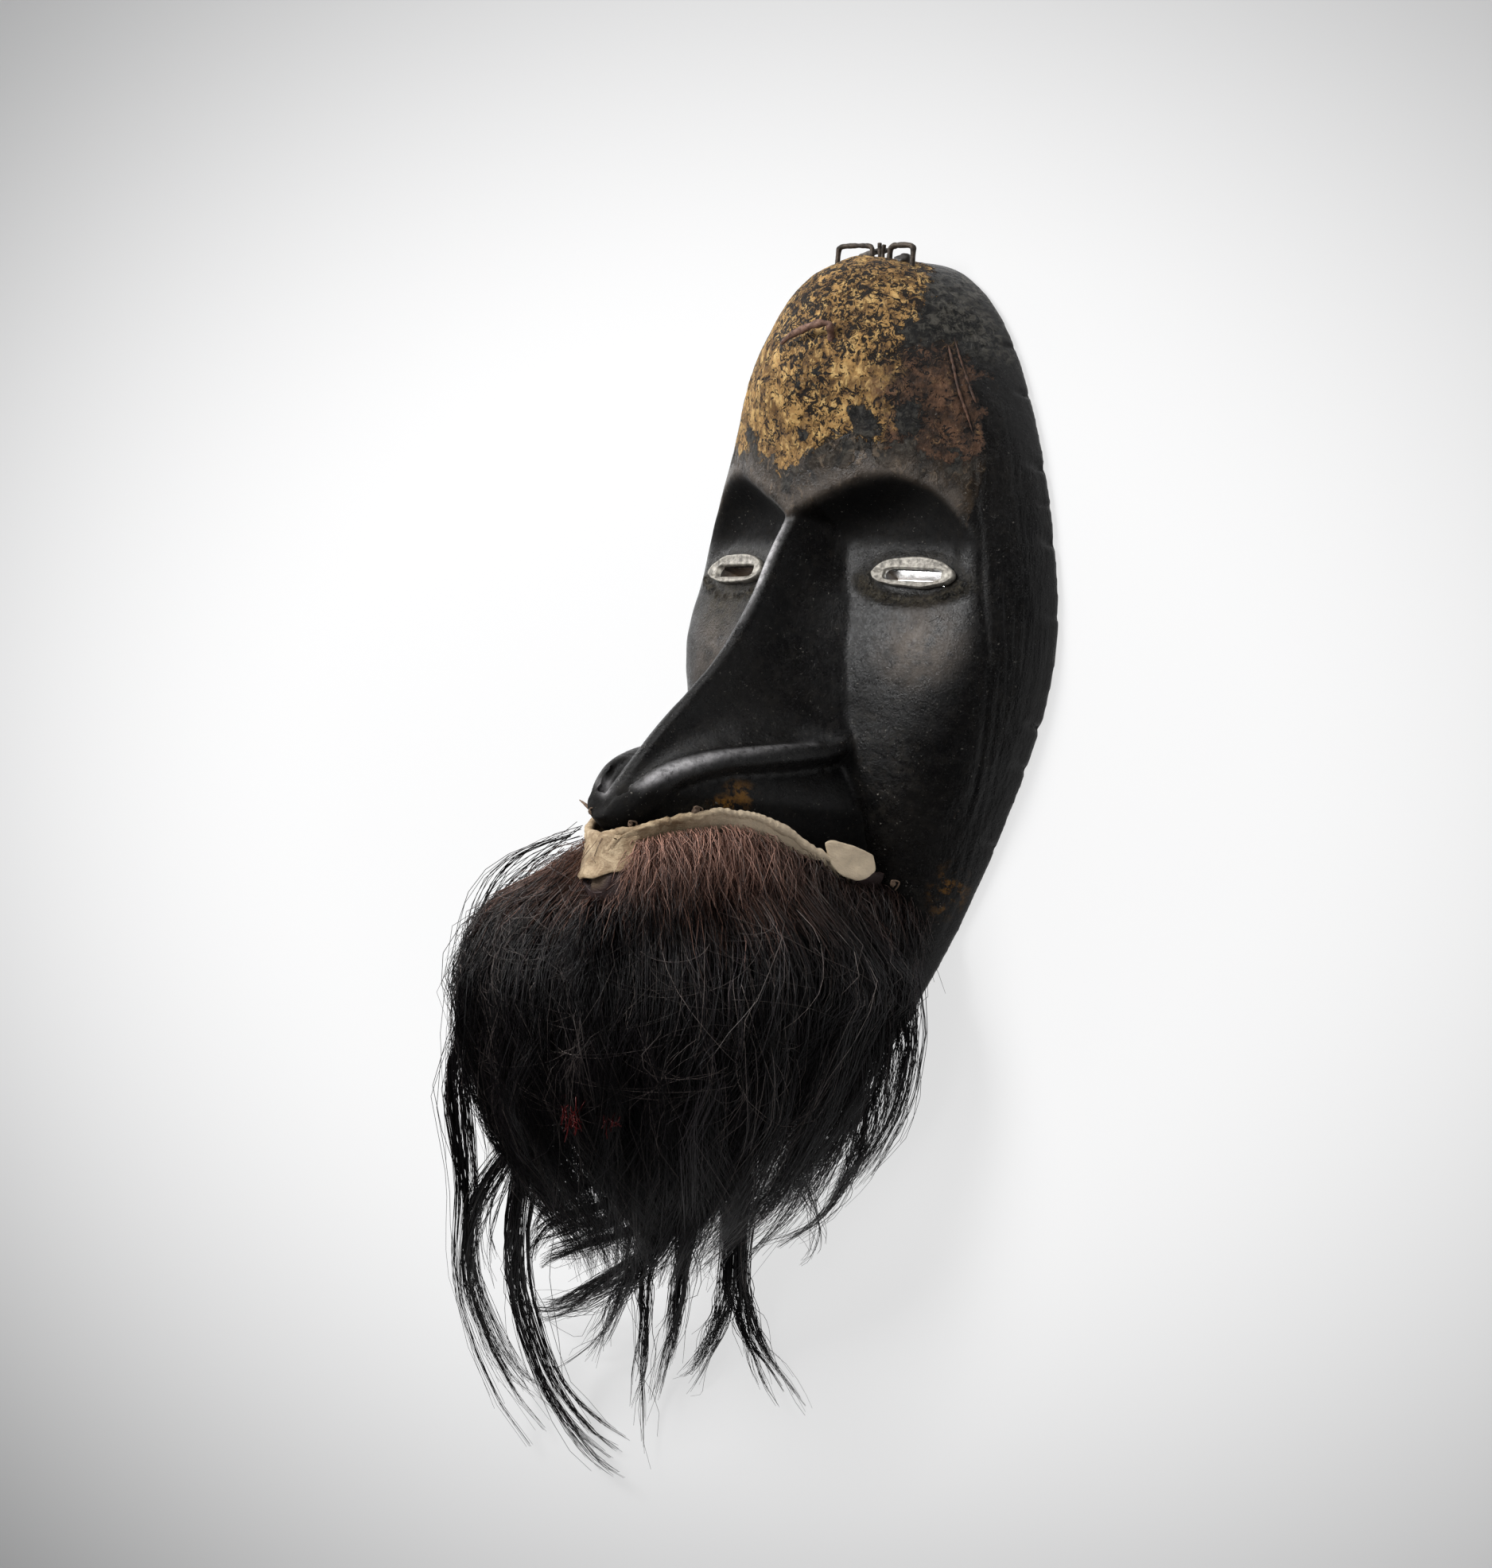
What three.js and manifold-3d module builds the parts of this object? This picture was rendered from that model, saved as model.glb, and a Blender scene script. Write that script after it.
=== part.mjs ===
// A Dan beaked face mask lying on its back: a hollow carved wooden shell with a long beak,
// metal-rimmed eye slits, iron staples at the crown and a pelt beard bound round its jaw.
// Millimetres. X is the mask's own left, Y runs up the face to the crown, Z points out of the
// face, which is up here, because the mask lies on the flat back edge of its rim at Z = 0.

import * as THREE from "three";
import { mergeVertices } from "three/addons/utils/BufferGeometryUtils.js";
import Module from "manifold-3d";

const wasm = await Module();
wasm.setup();

// Driving dimensions of the wooden shell.
const CROWN_Y = 122.7;
const CHIN_Y = -117;
const WIDEST_Y = 12;
const HALF_WIDTH = 69.5;
const WALL = 8;
const SECTION_POWER = 1.8;
const GAP = 0.3;
const SMOOTH_TO = 0.03;

// Depth of the uncarved dome, and height of the carved eye and cheek plane, from crown to chin.
const DOME_DEPTH = [
  [-124, 18], [-63, 31], [-43, 40], [-15, 53], [5, 55], [30, 47], [62, 45], [85, 48.5], [103, 44.5], [115, 38], [121, 29], [124, 20],
];
const PLANE_DEPTH = [[-124, 14], [-80, 22], [-45, 31], [-15, 35.5], [6, 35], [29, 30], [48, 24.5], [60, 24]];
const PLANE_SLOPE = 0.2;
const PLANE_FROM_X = 25;
const TEMPLE_ROUNDING = 9;
const BROW_LEDGE = 15;
const TEMPLE = { x: 46, fade: 2.2, most: 30 };
const BROW_ARCH = [[0, 44.5], [12, 50.5], [29, 57], [41, 54.5], [50, 47], [56, 39], [62, 30], [70, 20]];

// Eye slits and their metal rims.
const EYE = { x: 36.2, y: 29, length: 28.6, height: 9.3, slit: 21, slitHeight: 3.7, plate: 2.2, sink: 0.9, turn: 0.2 };

// The beak: its ridge runs from the nasion to the tip, its foot runs down the cheek and then
// out along the wing edge. Each row is [share of the way, x, y, z].
const RIDGE = [
  [0, 0, 47, 43], [0.14, 0, 35, 49], [0.3, 0, 19, 56.2], [0.46, 0, 3, 66],
  [0.6, 0, -11, 79], [0.8, 0, -30, 96.6], [0.93, 0, -42, 105.5], [1, 0, -47.5, 108.5],
];
const WING = [
  [0, 7, 47, 34], [0.14, 15, 36, 27], [0.3, 22, 17, 31], [0.46, 24.5, -4, 34], [0.56, 24.5, -19, 37],
  [0.66, 21, -23.5, 58], [0.77, 17, -26.5, 78], [0.88, 13.5, -31.5, 94], [0.95, 11, -37, 101.5], [1, 8.5, -42, 105.5],
];
const BEAK_STATIONS = 21;
const RIDGE_RADIUS = 1.7;
const LIP = 9;
const TIP_LIP = 12;
const LIP_BULGE = 1.6;
const TIP_GROOVE = 2.6;
const TIP_LENGTH = 5;

// The muzzle under the beak and the jaw that the pelt wraps. Each row is [z, half width, top y, bottom y].
const MUZZLE = [[14, 26, -12, -60], [37, 23.5, -21, -60], [58, 20, -26, -60], [78, 15.5, -30, -58], [90, 11, -35, -56], [96, 5.5, -41, -52]];
const JAW = [
  [8, 30, -60, -108], [26, 27, -59, -104], [38, 26, -59, -99], [54, 22.5, -52, -92],
  [72, 18, -46.5, -86], [90, 13, -49.5, -79], [101, 9, -53, -73], [105.5, 4, -57, -68],
];
const LOFT_STATIONS = 10;

// The pelt: hide thickness on the jaw, and the swept mass of hair as tilted ellipses.
// Each row is [y, long radius, short radius, sweep, height of the centre].
const HIDE = 2.2;
const HIDE_LIP = 0.8;
const KEEP_OUT = 2.2;
const HAIR_MASS = [
  [-54, 47, 30, 66, 62], [-60, 52, 32, 71, 62], [-77, 60.5, 41, 71, 61], [-101, 67.5, 46, 69, 60.5],
  [-122, 66, 46, 70.5, 59], [-138, 58, 41, 71.5, 55], [-152, 49, 32, 72.5, 49], [-163, 38, 22, 74, 43], [-170, 27, 12, 75, 39],
];
const HAIR_RIDGES = 14;
const HAIR_RIDGE_DEPTH = 2.4;
const HAIR_STATIONS = 12;
const HAIR_SIDES = 42;
const FLOOR_CLEARANCE = 0.6;

// Locks that hang from the mass and lie down on the surface: thickness at the root, then the way
// each one takes, from inside the mass to its tip.
const LOCKS = [
  [8, [-70.7, -102.7, 84], [-79.3, -124.8, 84], [-81.3, -144.6, 77], [-87.2, -159.3, 68], [-102.1, -175.8, 54], [-116.7, -191.3, 38], [-123.9, -213, 17], [-117.7, -230.4, 5], [-103, -237.2, 2.6]],
  [5.5, [-46.5, -131.7, 76], [-71.9, -152.6, 72], [-88.6, -163.4, 63], [-104.2, -175.8, 50], [-118.5, -194, 30], [-121.3, -216.1, 9], [-109, -224.7, 3]],
  [8.5, [-55.4, -130.9, 70], [-64.2, -158.6, 66], [-75.7, -170.6, 56], [-86.6, -182.7, 44], [-96.3, -195.7, 30], [-100, -216, 13], [-88.4, -230, 4], [-70.3, -235.1, 2.6]],
  [5, [-11.4, -156, 50], [-36.3, -172.6, 38], [-59.3, -180.8, 27], [-83.1, -188.2, 17], [-104.6, -193.2, 9], [-121.7, -193.9, 5], [-126.5, -189.1, 4]],
  [5.5, [-24, -153.9, 52], [-44.4, -175.8, 38], [-57.4, -183.9, 29], [-74.2, -193.4, 18], [-91, -202.6, 9], [-108.6, -212.9, 3]],
  [4, [-20.7, -153.5, 48], [-44, -175.6, 33], [-53.3, -188.7, 23], [-63.4, -201.9, 13], [-69.9, -215.1, 6], [-71.3, -234.7, 2.6]],
  [7.5, [-11, -150.6, 46], [-18.5, -162.4, 42], [-29.5, -174.4, 32], [-41.2, -186.5, 22], [-53.5, -198.9, 12], [-62.6, -212.3, 6], [-69.9, -226.2, 2.6]],
  [4.5, [-9.3, -151, 36], [-24.1, -177.6, 19], [-33.2, -187.6, 11], [-42, -197.7, 6.5], [-50.5, -205.3, 4], [-61.2, -211.2, 2.6]],
  [6.5, [-3.7, -145.4, 36], [-19.9, -173.1, 20], [-24.6, -184.2, 12], [-23.6, -194.5, 7.5], [-19.6, -203.6, 4.8], [-7.3, -217.7, 2.6]],
  [5.5, [27.7, -118.4, 20], [22.6, -133, 15], [12.6, -144.9, 9], [1.3, -156.1, 6], [-12.4, -164.9, 4], [-27.8, -170.9, 3]],
];
const LOCK_SIDES = 5;

// Staples, stub and nail: leg spacing or length, wire size and place.
const STAPLE_LEFT = { x: 8.6, z: 17, span: 9.5, rise: 3.4, wire: 1.8 };
const STAPLE_RIGHT = { x: -10.5, z: 17, span: 14, rise: 3.5, wire: 1.6 };
const STUB = { x: 0.4, z: 17, rise: 4.4, wire: 2.2 };
const NAIL = { tip: [-4.5, 93.2, 49.5], bend: [11.5, 99.2, 47], root: [9, 92, 42], wire: 2.2 };
const SINK = 6;

// A smooth function through a few [position, value] pairs, level beyond both ends.
function profile(pairs, column = 1) {
  const at = pairs.map((pair) => pair[0]);
  const values = pairs.map((pair) => pair[column]);
  const slopes = at.map((_, i) => {
    const before = Math.max(i - 1, 0);
    const after = Math.min(i + 1, at.length - 1);
    return (values[after] - values[before]) / (at[after] - at[before]);
  });
  return (x) => {
    if (x <= at[0]) return values[0];
    if (x >= at[at.length - 1]) return values[at.length - 1];
    const i = at.findIndex((a) => a > x) - 1;
    const width = at[i + 1] - at[i];
    const t = (x - at[i]) / width;
    const h = t * t * (3 - 2 * t);
    return values[i] * (1 - h) + values[i + 1] * h
      + slopes[i] * width * t * (1 - t) * (1 - t) - slopes[i + 1] * width * t * t * (1 - t);
  };
}

function smoothstep(t) {
  const c = Math.min(Math.max(t, 0), 1);
  return c * c * (3 - 2 * c);
}

function smoothMin(a, b, k) {
  const h = Math.max(k - Math.abs(a - b), 0) / k;
  return Math.min(a, b) - h * h * k * 0.25;
}

// A power of t that starts off level instead of at a sharp corner.
function softPower(t, power) {
  const at = (u) => Math.pow(u * u + 0.04, power / 2);
  return (at(t) - at(0)) / (at(1) - at(0));
}

// Half width of the egg-shaped rim at height y: round at its widest, blunt at the crown.
function halfWidth(y) {
  const t = y > WIDEST_Y ? (y - WIDEST_Y) / (CROWN_Y - WIDEST_Y) : (WIDEST_Y - y) / (WIDEST_Y - CHIN_Y);
  const left = Math.max(1 - softPower(t, 1.02), 0);
  return HALF_WIDTH * Math.pow(left, y > WIDEST_Y ? 0.37 : 0.645);
}

const domeDepth = profile(DOME_DEPTH);
const planeDepth = profile(PLANE_DEPTH);
const browArch = profile(BROW_ARCH);

// A closed mesh from rows of points. Each row is an open strip or, with loop, a ring.
function triangulate(rows, triangles, loop = false) {
  for (let i = 0; i + 1 < rows.length; i++) {
    const count = loop ? rows[i].length : rows[i].length - 1;
    for (let j = 0; j < count; j++) {
      const next = (j + 1) % rows[i].length;
      const [a, b, c, d] = [rows[i][j], rows[i][next], rows[i + 1][next], rows[i + 1][j]];
      triangles.push([a, b, c], [a, c, d]);
    }
  }
}

function closeRing(ring, triangles, reversed) {
  const middle = ring.reduce((sum, p) => sum.add(p), new THREE.Vector3()).divideScalar(ring.length);
  ring.forEach((p, i) => {
    const q = ring[(i + 1) % ring.length];
    triangles.push(reversed ? [middle, q, p] : [middle, p, q]);
  });
}

function signedVolume(triangles) {
  return triangles.reduce((sum, [a, b, c]) => sum + a.dot(new THREE.Vector3().crossVectors(b, c)) / 6, 0);
}

// Merged, outward-facing geometry without collapsed triangles.
function geometryOf(triangles) {
  const flip = signedVolume(triangles) < 0;
  const flat = triangles.flatMap(([a, b, c]) => (flip ? [a, c, b] : [a, b, c])).flatMap((p) => [p.x, p.y, p.z]);
  const loose = new THREE.BufferGeometry();
  loose.setAttribute("position", new THREE.Float32BufferAttribute(flat, 3));
  const merged = mergeVertices(loose, 1e-3);
  const index = [];
  const all = merged.index.array;
  for (let i = 0; i < all.length; i += 3) {
    const [a, b, c] = [all[i], all[i + 1], all[i + 2]];
    if (a !== b && b !== c && c !== a) index.push(a, b, c);
  }
  merged.setIndex(index);
  return merged;
}

function loft(rings) {
  const triangles = [];
  triangulate(rings, triangles, true);
  closeRing(rings[0], triangles, true);
  closeRing(rings[rings.length - 1], triangles, false);
  return geometryOf(triangles);
}

function toSolid(geometry) {
  const bare = geometry.clone();
  for (const name of Object.keys(bare.attributes)) if (name !== "position") bare.deleteAttribute(name);
  const merged = mergeVertices(bare, 1e-3);
  return new wasm.Manifold(new wasm.Mesh({
    numProp: 3,
    vertProperties: new Float32Array(merged.attributes.position.array),
    triVerts: new Uint32Array(merged.index.array),
  }));
}

function toGeometry(solid) {
  const mesh = solid.getMesh();
  const geometry = new THREE.BufferGeometry();
  const positions = new Float32Array(mesh.numVert * 3);
  for (let v = 0; v < mesh.numVert; v++) {
    for (let k = 0; k < 3; k++) positions[v * 3 + k] = mesh.vertProperties[v * mesh.numProp + k];
  }
  geometry.setAttribute("position", new THREE.BufferAttribute(positions, 3));
  geometry.setIndex(Array.from(mesh.triVerts));
  return geometry;
}

function makeMesh(name, geometry, colour, roughness, metalness = 0) {
  const flatShaded = geometry.clone();
  flatShaded.computeVertexNormals();
  const material = new THREE.MeshStandardMaterial({ color: colour, roughness, metalness, flatShading: true });
  const mesh = new THREE.Mesh(flatShaded, material);
  mesh.name = name;
  return mesh;
}

// The hollow below a brow: it falls steeply at first and then runs out gently.
function cove(t) {
  const c = Math.min(Math.max(t, 0), 1);
  const eased = (c < 0.12 ? (c * c) / 0.24 : c - 0.06) / 0.94;
  return 1 - Math.pow(1 - eased, 2.2);
}

// Height over which the brow falls back to the face plane: short at the brow, long at the temple.
function ledgeDrop(x) {
  return BROW_LEDGE + Math.min(TEMPLE.fade * Math.max(Math.abs(x) - TEMPLE.x, 0), TEMPLE.most);
}

// The carved front: the dome cut back by the face plane below the arched brows.
function frontPoint(x, y, domeHeight, sink, ledgeLead) {
  const plane = planeDepth(y) - PLANE_SLOPE * (Math.abs(x) - PLANE_FROM_X) - sink;
  const below = cove((browArch(Math.abs(x)) - y + ledgeLead) / (ledgeDrop(x) + ledgeLead * 2));
  const carved = smoothMin(domeHeight, plane, TEMPLE_ROUNDING);
  return THREE.MathUtils.lerp(domeHeight, Math.min(carved, domeHeight), below);
}

// Heights of the rows, as [group, share]: crown to brow, the brow ledge, and brow to chin.
const OUTER_ROWS = { crown: 13, ledge: [0.31, 0.65, 1], lower: 19, columns: 15 };
const INNER_ROWS = { crown: 7, ledge: [1], lower: 9, columns: 7 };

function rowHeights(side, rows) {
  let brow = 45;
  for (let k = 0; k < 4; k++) brow = browArch(Math.min(halfWidth(brow) * side, TEMPLE.x));
  const heights = [];
  for (let k = 0; k <= rows.crown; k++) heights.push(CROWN_Y + (brow - CROWN_Y) * Math.pow(k / rows.crown, 1.5));
  for (const share of rows.ledge) heights.push(brow - share * BROW_LEDGE);
  const last = heights[heights.length - 1];
  for (let k = 1; k <= rows.lower; k++) heights.push(last + ((CHIN_Y - last) * k) / rows.lower);
  return heights;
}

// One face of the shell as a grid from crown to chin, inset by the wall or grown outwards.
function shellGrid(rows, wall, grow = 0) {
  const columns = [];
  for (let j = -rows.columns; j <= rows.columns; j++) {
    const angle = (Math.abs(j) / rows.columns) * Math.PI / 2;
    const across = Math.sign(j) * Math.pow(Math.sin(angle), 2 / SECTION_POWER);
    const up = j % rows.columns === 0 && j !== 0 ? 0 : Math.pow(Math.cos(angle), 2 / SECTION_POWER);
    columns.push(rowHeights(Math.abs(across), rows).map((y) => {
      const x = across * halfWidth(y) * (1 + (grow - wall) / HALF_WIDTH);
      const stretch = y > WIDEST_Y ? 1 - (wall - grow) / (CROWN_Y - WIDEST_Y) : 1 - (wall * 1.6 - grow) / (WIDEST_Y - CHIN_Y);
      const dome = (domeDepth(y) - wall + grow) * up;
      const z = up === 0 ? 0 : Math.max(frontPoint(x, y, dome, wall - grow, wall * 0.8), 0);
      return new THREE.Vector3(x, WIDEST_Y + (y - WIDEST_Y) * stretch, z);
    }));
  }
  return columns;
}

// A strip between two edges with different numbers of points, both from crown to chin.
function stitch(one, other, triangles, reversed) {
  let [i, j] = [0, 0];
  while (i + 1 < one.length || j + 1 < other.length) {
    const stepOne = j + 1 >= other.length || (i + 1 < one.length && one[i + 1].y >= other[j + 1].y);
    const triangle = stepOne ? [one[i], one[i + 1], other[j]] : [one[i], other[j + 1], other[j]];
    triangles.push(reversed ? [triangle[0], triangle[2], triangle[1]] : triangle);
    if (stepOne) i++;
    else j++;
  }
}

// A closed block below one face of the shell, down to a flat base: the uncut outside, the hollow,
// or the room that the pelt keeps clear of.
function shellBlock(rows, wall, grow, baseZ) {
  const front = shellGrid(rows, wall, grow);
  const base = front.map((column) => column.map((p) => new THREE.Vector3(p.x, p.y, baseZ)));
  const triangles = [];
  triangulate(front, triangles);
  const under = [];
  triangulate(base, under);
  triangles.push(...under.map(([a, b, c]) => [a, c, b]));
  if (baseZ !== 0) {
    stitch(front[0], base[0], triangles, true);
    stitch(front[front.length - 1], base[base.length - 1], triangles, false);
  }
  return geometryOf(triangles);
}

// The beak as rings of points round its ridge, sides, wing lips and underside.
function beak(grow) {
  const ridgeY = profile(RIDGE, 2);
  const ridgeZ = profile(RIDGE, 3);
  const [wingX, wingY, wingZ] = [1, 2, 3].map((column) => profile(WING, column));
  const rings = [];
  const sideSteps = 5;
  for (let k = 0; k <= BEAK_STATIONS; k++) {
    const t = k / BEAK_STATIONS;
    const free = smoothstep((t - 0.5) / 0.16);
    const tip = smoothstep((t - 0.62) / 0.38);
    const ridge = new THREE.Vector3(0, ridgeY(t) + grow, ridgeZ(t) + grow);
    const wing = new THREE.Vector3(wingX(t) + grow, wingY(t), wingZ(t));
    const under = new THREE.Vector3(0, -0.81 * free, -0.59 * free - (1 - free)).normalize();
    const lip = THREE.MathUtils.lerp(7, THREE.MathUtils.lerp(LIP, TIP_LIP, tip), free);
    const flare = THREE.MathUtils.lerp(1.6, 1, tip);
    const groove = TIP_GROOVE * tip;
    const side = [];
    for (let s = 1; s <= sideSteps; s++) {
      const v = s / sideSteps;
      const point = ridge.clone().lerp(wing, v);
      point.x = RIDGE_RADIUS + (wing.x - RIDGE_RADIUS) * Math.pow(v, flare);
      point.addScaledVector(under, groove * Math.sin(Math.PI * Math.min(v * 1.15, 1)));
      side.push(point);
    }
    const shoulder = ridge.clone().addScaledVector(under, 0.7);
    shoulder.x = RIDGE_RADIUS * 0.8;
    const bulge = wing.clone().addScaledVector(under, lip * 0.45);
    bulge.x += LIP_BULGE * free;
    const lower = wing.clone().addScaledVector(under, lip + grow);
    lower.x -= THREE.MathUtils.lerp(1.5, 3.5, free);
    const half = [shoulder, ...side, bulge, lower];
    const keel = new THREE.Vector3(0, lower.y, lower.z).addScaledVector(under, -0.5);
    const mirrored = half.map((p) => new THREE.Vector3(-p.x, p.y, p.z)).reverse();
    rings.push([ridge, ...half, keel, ...mirrored]);
  }
  const end = rings[rings.length - 1];
  const middle = end.reduce((sum, p) => sum.add(p), new THREE.Vector3()).divideScalar(end.length);
  const ahead = new THREE.Vector3(0, -0.62, 0.78);
  for (const angle of [0.5, 0.95, 1.3]) {
    rings.push(end.map((p) => p.clone().sub(middle).multiplyScalar(Math.cos(angle)).add(middle)
      .addScaledVector(ahead, (TIP_LENGTH + grow) * Math.sin(angle))));
  }
  return loft(rings);
}

// A block that runs out along Z with rounded-rectangle sections, for the muzzle and the jaw.
function snout(rows, grow, roundness) {
  const sides = 16;
  const [halfAt, topAt, bottomAt] = [1, 2, 3].map((column) => profile(rows, column));
  const first = rows[0][0];
  const last = rows[rows.length - 1][0];
  const rings = [];
  for (let k = 0; k <= LOFT_STATIONS; k++) {
    const share = Math.sin((k / LOFT_STATIONS) * Math.PI / 2);
    const z = first + (last - first) * share;
    const middle = (topAt(z) + bottomAt(z)) / 2;
    const halfHeight = (topAt(z) - bottomAt(z)) / 2 + grow;
    const ring = [];
    for (let s = 0; s < sides; s++) {
      const angle = (s / sides) * 2 * Math.PI;
      const [c, d] = [Math.cos(angle), Math.sin(angle)];
      ring.push(new THREE.Vector3(
        (halfAt(z) + grow) * Math.sign(c) * Math.pow(Math.abs(c), 2 / roundness),
        middle + halfHeight * Math.sign(d) * Math.pow(Math.abs(d), 2 / roundness),
        z + grow * Math.pow(k / LOFT_STATIONS, 2),
      ));
    }
    rings.push(ring);
  }
  return loft(rings);
}

// The rim plate's outline: a flat almond with blunt ends.
function almond(length, height) {
  const shape = new THREE.Shape();
  const steps = 20;
  for (let k = 0; k < steps; k++) {
    const angle = (k / steps) * 2 * Math.PI;
    const [c, d] = [Math.cos(angle), Math.sin(angle)];
    const x = (length / 2) * Math.sign(c) * Math.pow(Math.abs(c), 0.95);
    const y = (height / 2) * Math.sign(d) * Math.pow(Math.abs(d), 0.8);
    if (k === 0) shape.moveTo(x, y);
    else shape.lineTo(x, y);
  }
  return shape;
}

// Puts a flat piece on the eye plane of the left (+1) or right (-1) eye.
function ontoEye(geometry, side) {
  const rise = (planeDepth(EYE.y + 5) - planeDepth(EYE.y - 5)) / 10;
  const plane = planeDepth(EYE.y) - PLANE_SLOPE * (EYE.x - PLANE_FROM_X);
  const turned = geometry.clone().applyMatrix4(new THREE.Matrix4().makeRotationX(Math.atan(rise)));
  turned.applyMatrix4(new THREE.Matrix4().makeRotationY(side * Math.atan(EYE.turn)));
  return turned.translate(side * EYE.x, EYE.y, plane);
}

function eyePlate() {
  const shape = almond(EYE.length, EYE.height);
  const slit = new THREE.Path();
  const [a, b] = [EYE.slit / 2, EYE.slitHeight / 2];
  slit.moveTo(-a, -b).lineTo(-a, b * 0.8).lineTo(a, b).lineTo(a, -b * 0.8).closePath();
  shape.holes.push(slit);
  return new THREE.ExtrudeGeometry(shape, { depth: EYE.plate, bevelEnabled: true, bevelThickness: 0.6, bevelSize: 0.5, bevelOffset: -0.5, bevelSegments: 1 })
    .translate(0, 0, -EYE.sink + 0.6);
}

function eyeSeat() {
  const seat = new THREE.ExtrudeGeometry(almond(EYE.length + 2 * GAP, EYE.height + 2 * GAP), { depth: 12, bevelEnabled: false });
  return seat.translate(0, 0, -EYE.sink - GAP);
}

function eyeHole() {
  return new THREE.BoxGeometry(EYE.slit + 2, EYE.slitHeight + 2, 40);
}

function cut(from, pieces) {
  return pieces.reduce((solid, piece) => solid.subtract(toSolid(piece)), from);
}

// The biggest of the bodies that a cut leaves.
function largest(solid) {
  return solid.decompose().reduce((best, body) => (body.volume() > best.volume() ? body : best));
}

// A round bar along a way of points, with its own number of sides.
function bar(points, radiusAt, sides) {
  const path = new THREE.CatmullRomCurve3(points.map((p) => new THREE.Vector3(...p)));
  const steps = points.length * 2;
  const frames = path.computeFrenetFrames(steps, false);
  const rings = [];
  for (let k = 0; k <= steps; k++) {
    const centre = path.getPointAt(k / steps);
    const ring = [];
    for (let s = 0; s < sides; s++) {
      const angle = (s / sides) * 2 * Math.PI;
      const radius = radiusAt(k / steps);
      ring.push(centre.clone().addScaledVector(frames.normals[k], radius * Math.cos(angle))
        .addScaledVector(frames.binormals[k], radius * Math.sin(angle)));
    }
    rings.push(ring);
  }
  return loft(rings);
}

// Height of the crown's outer surface at a place across it and out from its rim.
function crownHeight(x, z) {
  let [low, high] = [90, CROWN_Y];
  for (let k = 0; k < 30; k++) {
    const y = (low + high) / 2;
    const share = 1 - Math.pow(z / domeDepth(y), SECTION_POWER);
    const reach = share > 0 ? halfWidth(y) * Math.pow(share, 1 / SECTION_POWER) : 0;
    if (reach > Math.abs(x)) low = y;
    else high = y;
  }
  return low;
}

function staple({ x, z, span, rise, wire }) {
  const [left, right] = [x - span / 2, x + span / 2];
  const top = crownHeight(0, z) + rise;
  const points = [
    [left, crownHeight(left, z) - SINK, z], [left, top - 2, z], [left + 1.6, top, z],
    [right - 1.6, top, z], [right, top - 2, z], [right, crownHeight(right, z) - SINK, z],
  ];
  return bar(points, () => wire / 2, 5);
}

function stub({ x, z, rise, wire }) {
  const foot = crownHeight(x, z);
  return bar([[x, foot - SINK, z], [x, foot, z], [x + 0.5, foot + rise, z + 0.4]], () => wire / 2, 6);
}

// The bent nail: a flattish free end that lies over the forehead, and a root driven into the wood.
function nailWay() {
  const { tip, bend, root } = NAIL;
  return [tip, tip.map((v, k) => (v + bend[k]) / 2 + [0, 0.6, 0.8][k]), bend, root];
}

function foreheadNail() {
  return bar(nailWay(), (t) => (NAIL.wire / 2) * (0.6 + 0.4 * Math.min(t * 3, 1)), 6);
}

// The mass of hair: near the jaw its section follows the jaw, and below it is a tilted ellipse
// swept to the mask's right, ridged like combed hair, and held up off the surface.
function hairMass() {
  const [long, short, sweep, centreZ] = [1, 2, 3, 4].map((column) => {
    const at = profile([...HAIR_MASS].reverse(), column);
    return (y) => at(y);
  });
  const top = HAIR_MASS[0][0];
  const bottom = HAIR_MASS[HAIR_MASS.length - 1][0];
  const rings = [];
  for (let k = 0; k <= HAIR_STATIONS; k++) {
    const y = top + (bottom - top) * (k / HAIR_STATIONS);
    const loose = smoothstep((top - y) / 24);
    const ring = [];
    for (let s = 0; s < HAIR_SIDES; s++) {
      const angle = (s / HAIR_SIDES) * 2 * Math.PI;
      const jawX = 28 * Math.sin(angle) * (1 - 0.45 * Math.cos(angle));
      const jawZ = 60 + 50 * Math.cos(angle);
      const ridge = 1 + (HAIR_RIDGE_DEPTH / 60) * Math.sin(HAIR_RIDGES * angle + y * 0.035) * loose;
      const along = long(y) * ridge * Math.cos(angle + Math.PI / 4) * Math.SQRT1_2;
      const across = short(y) * ridge * Math.sin(angle + Math.PI / 4) * Math.SQRT1_2;
      const x = THREE.MathUtils.lerp(jawX, centreZ(y) - sweep(y) - along + across, loose);
      const z = THREE.MathUtils.lerp(jawZ, centreZ(y) + along + across, loose);
      ring.push(new THREE.Vector3(x, y, Math.max(z, FLOOR_CLEARANCE)));
    }
    rings.push(ring);
  }
  return loft(rings);
}

function lock([thickness, ...way]) {
  return bar(way, (t) => (thickness / 2) * (t < 0.5 ? 1 : 1 - 1.7 * (t - 0.5)), LOCK_SIDES);
}

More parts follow.
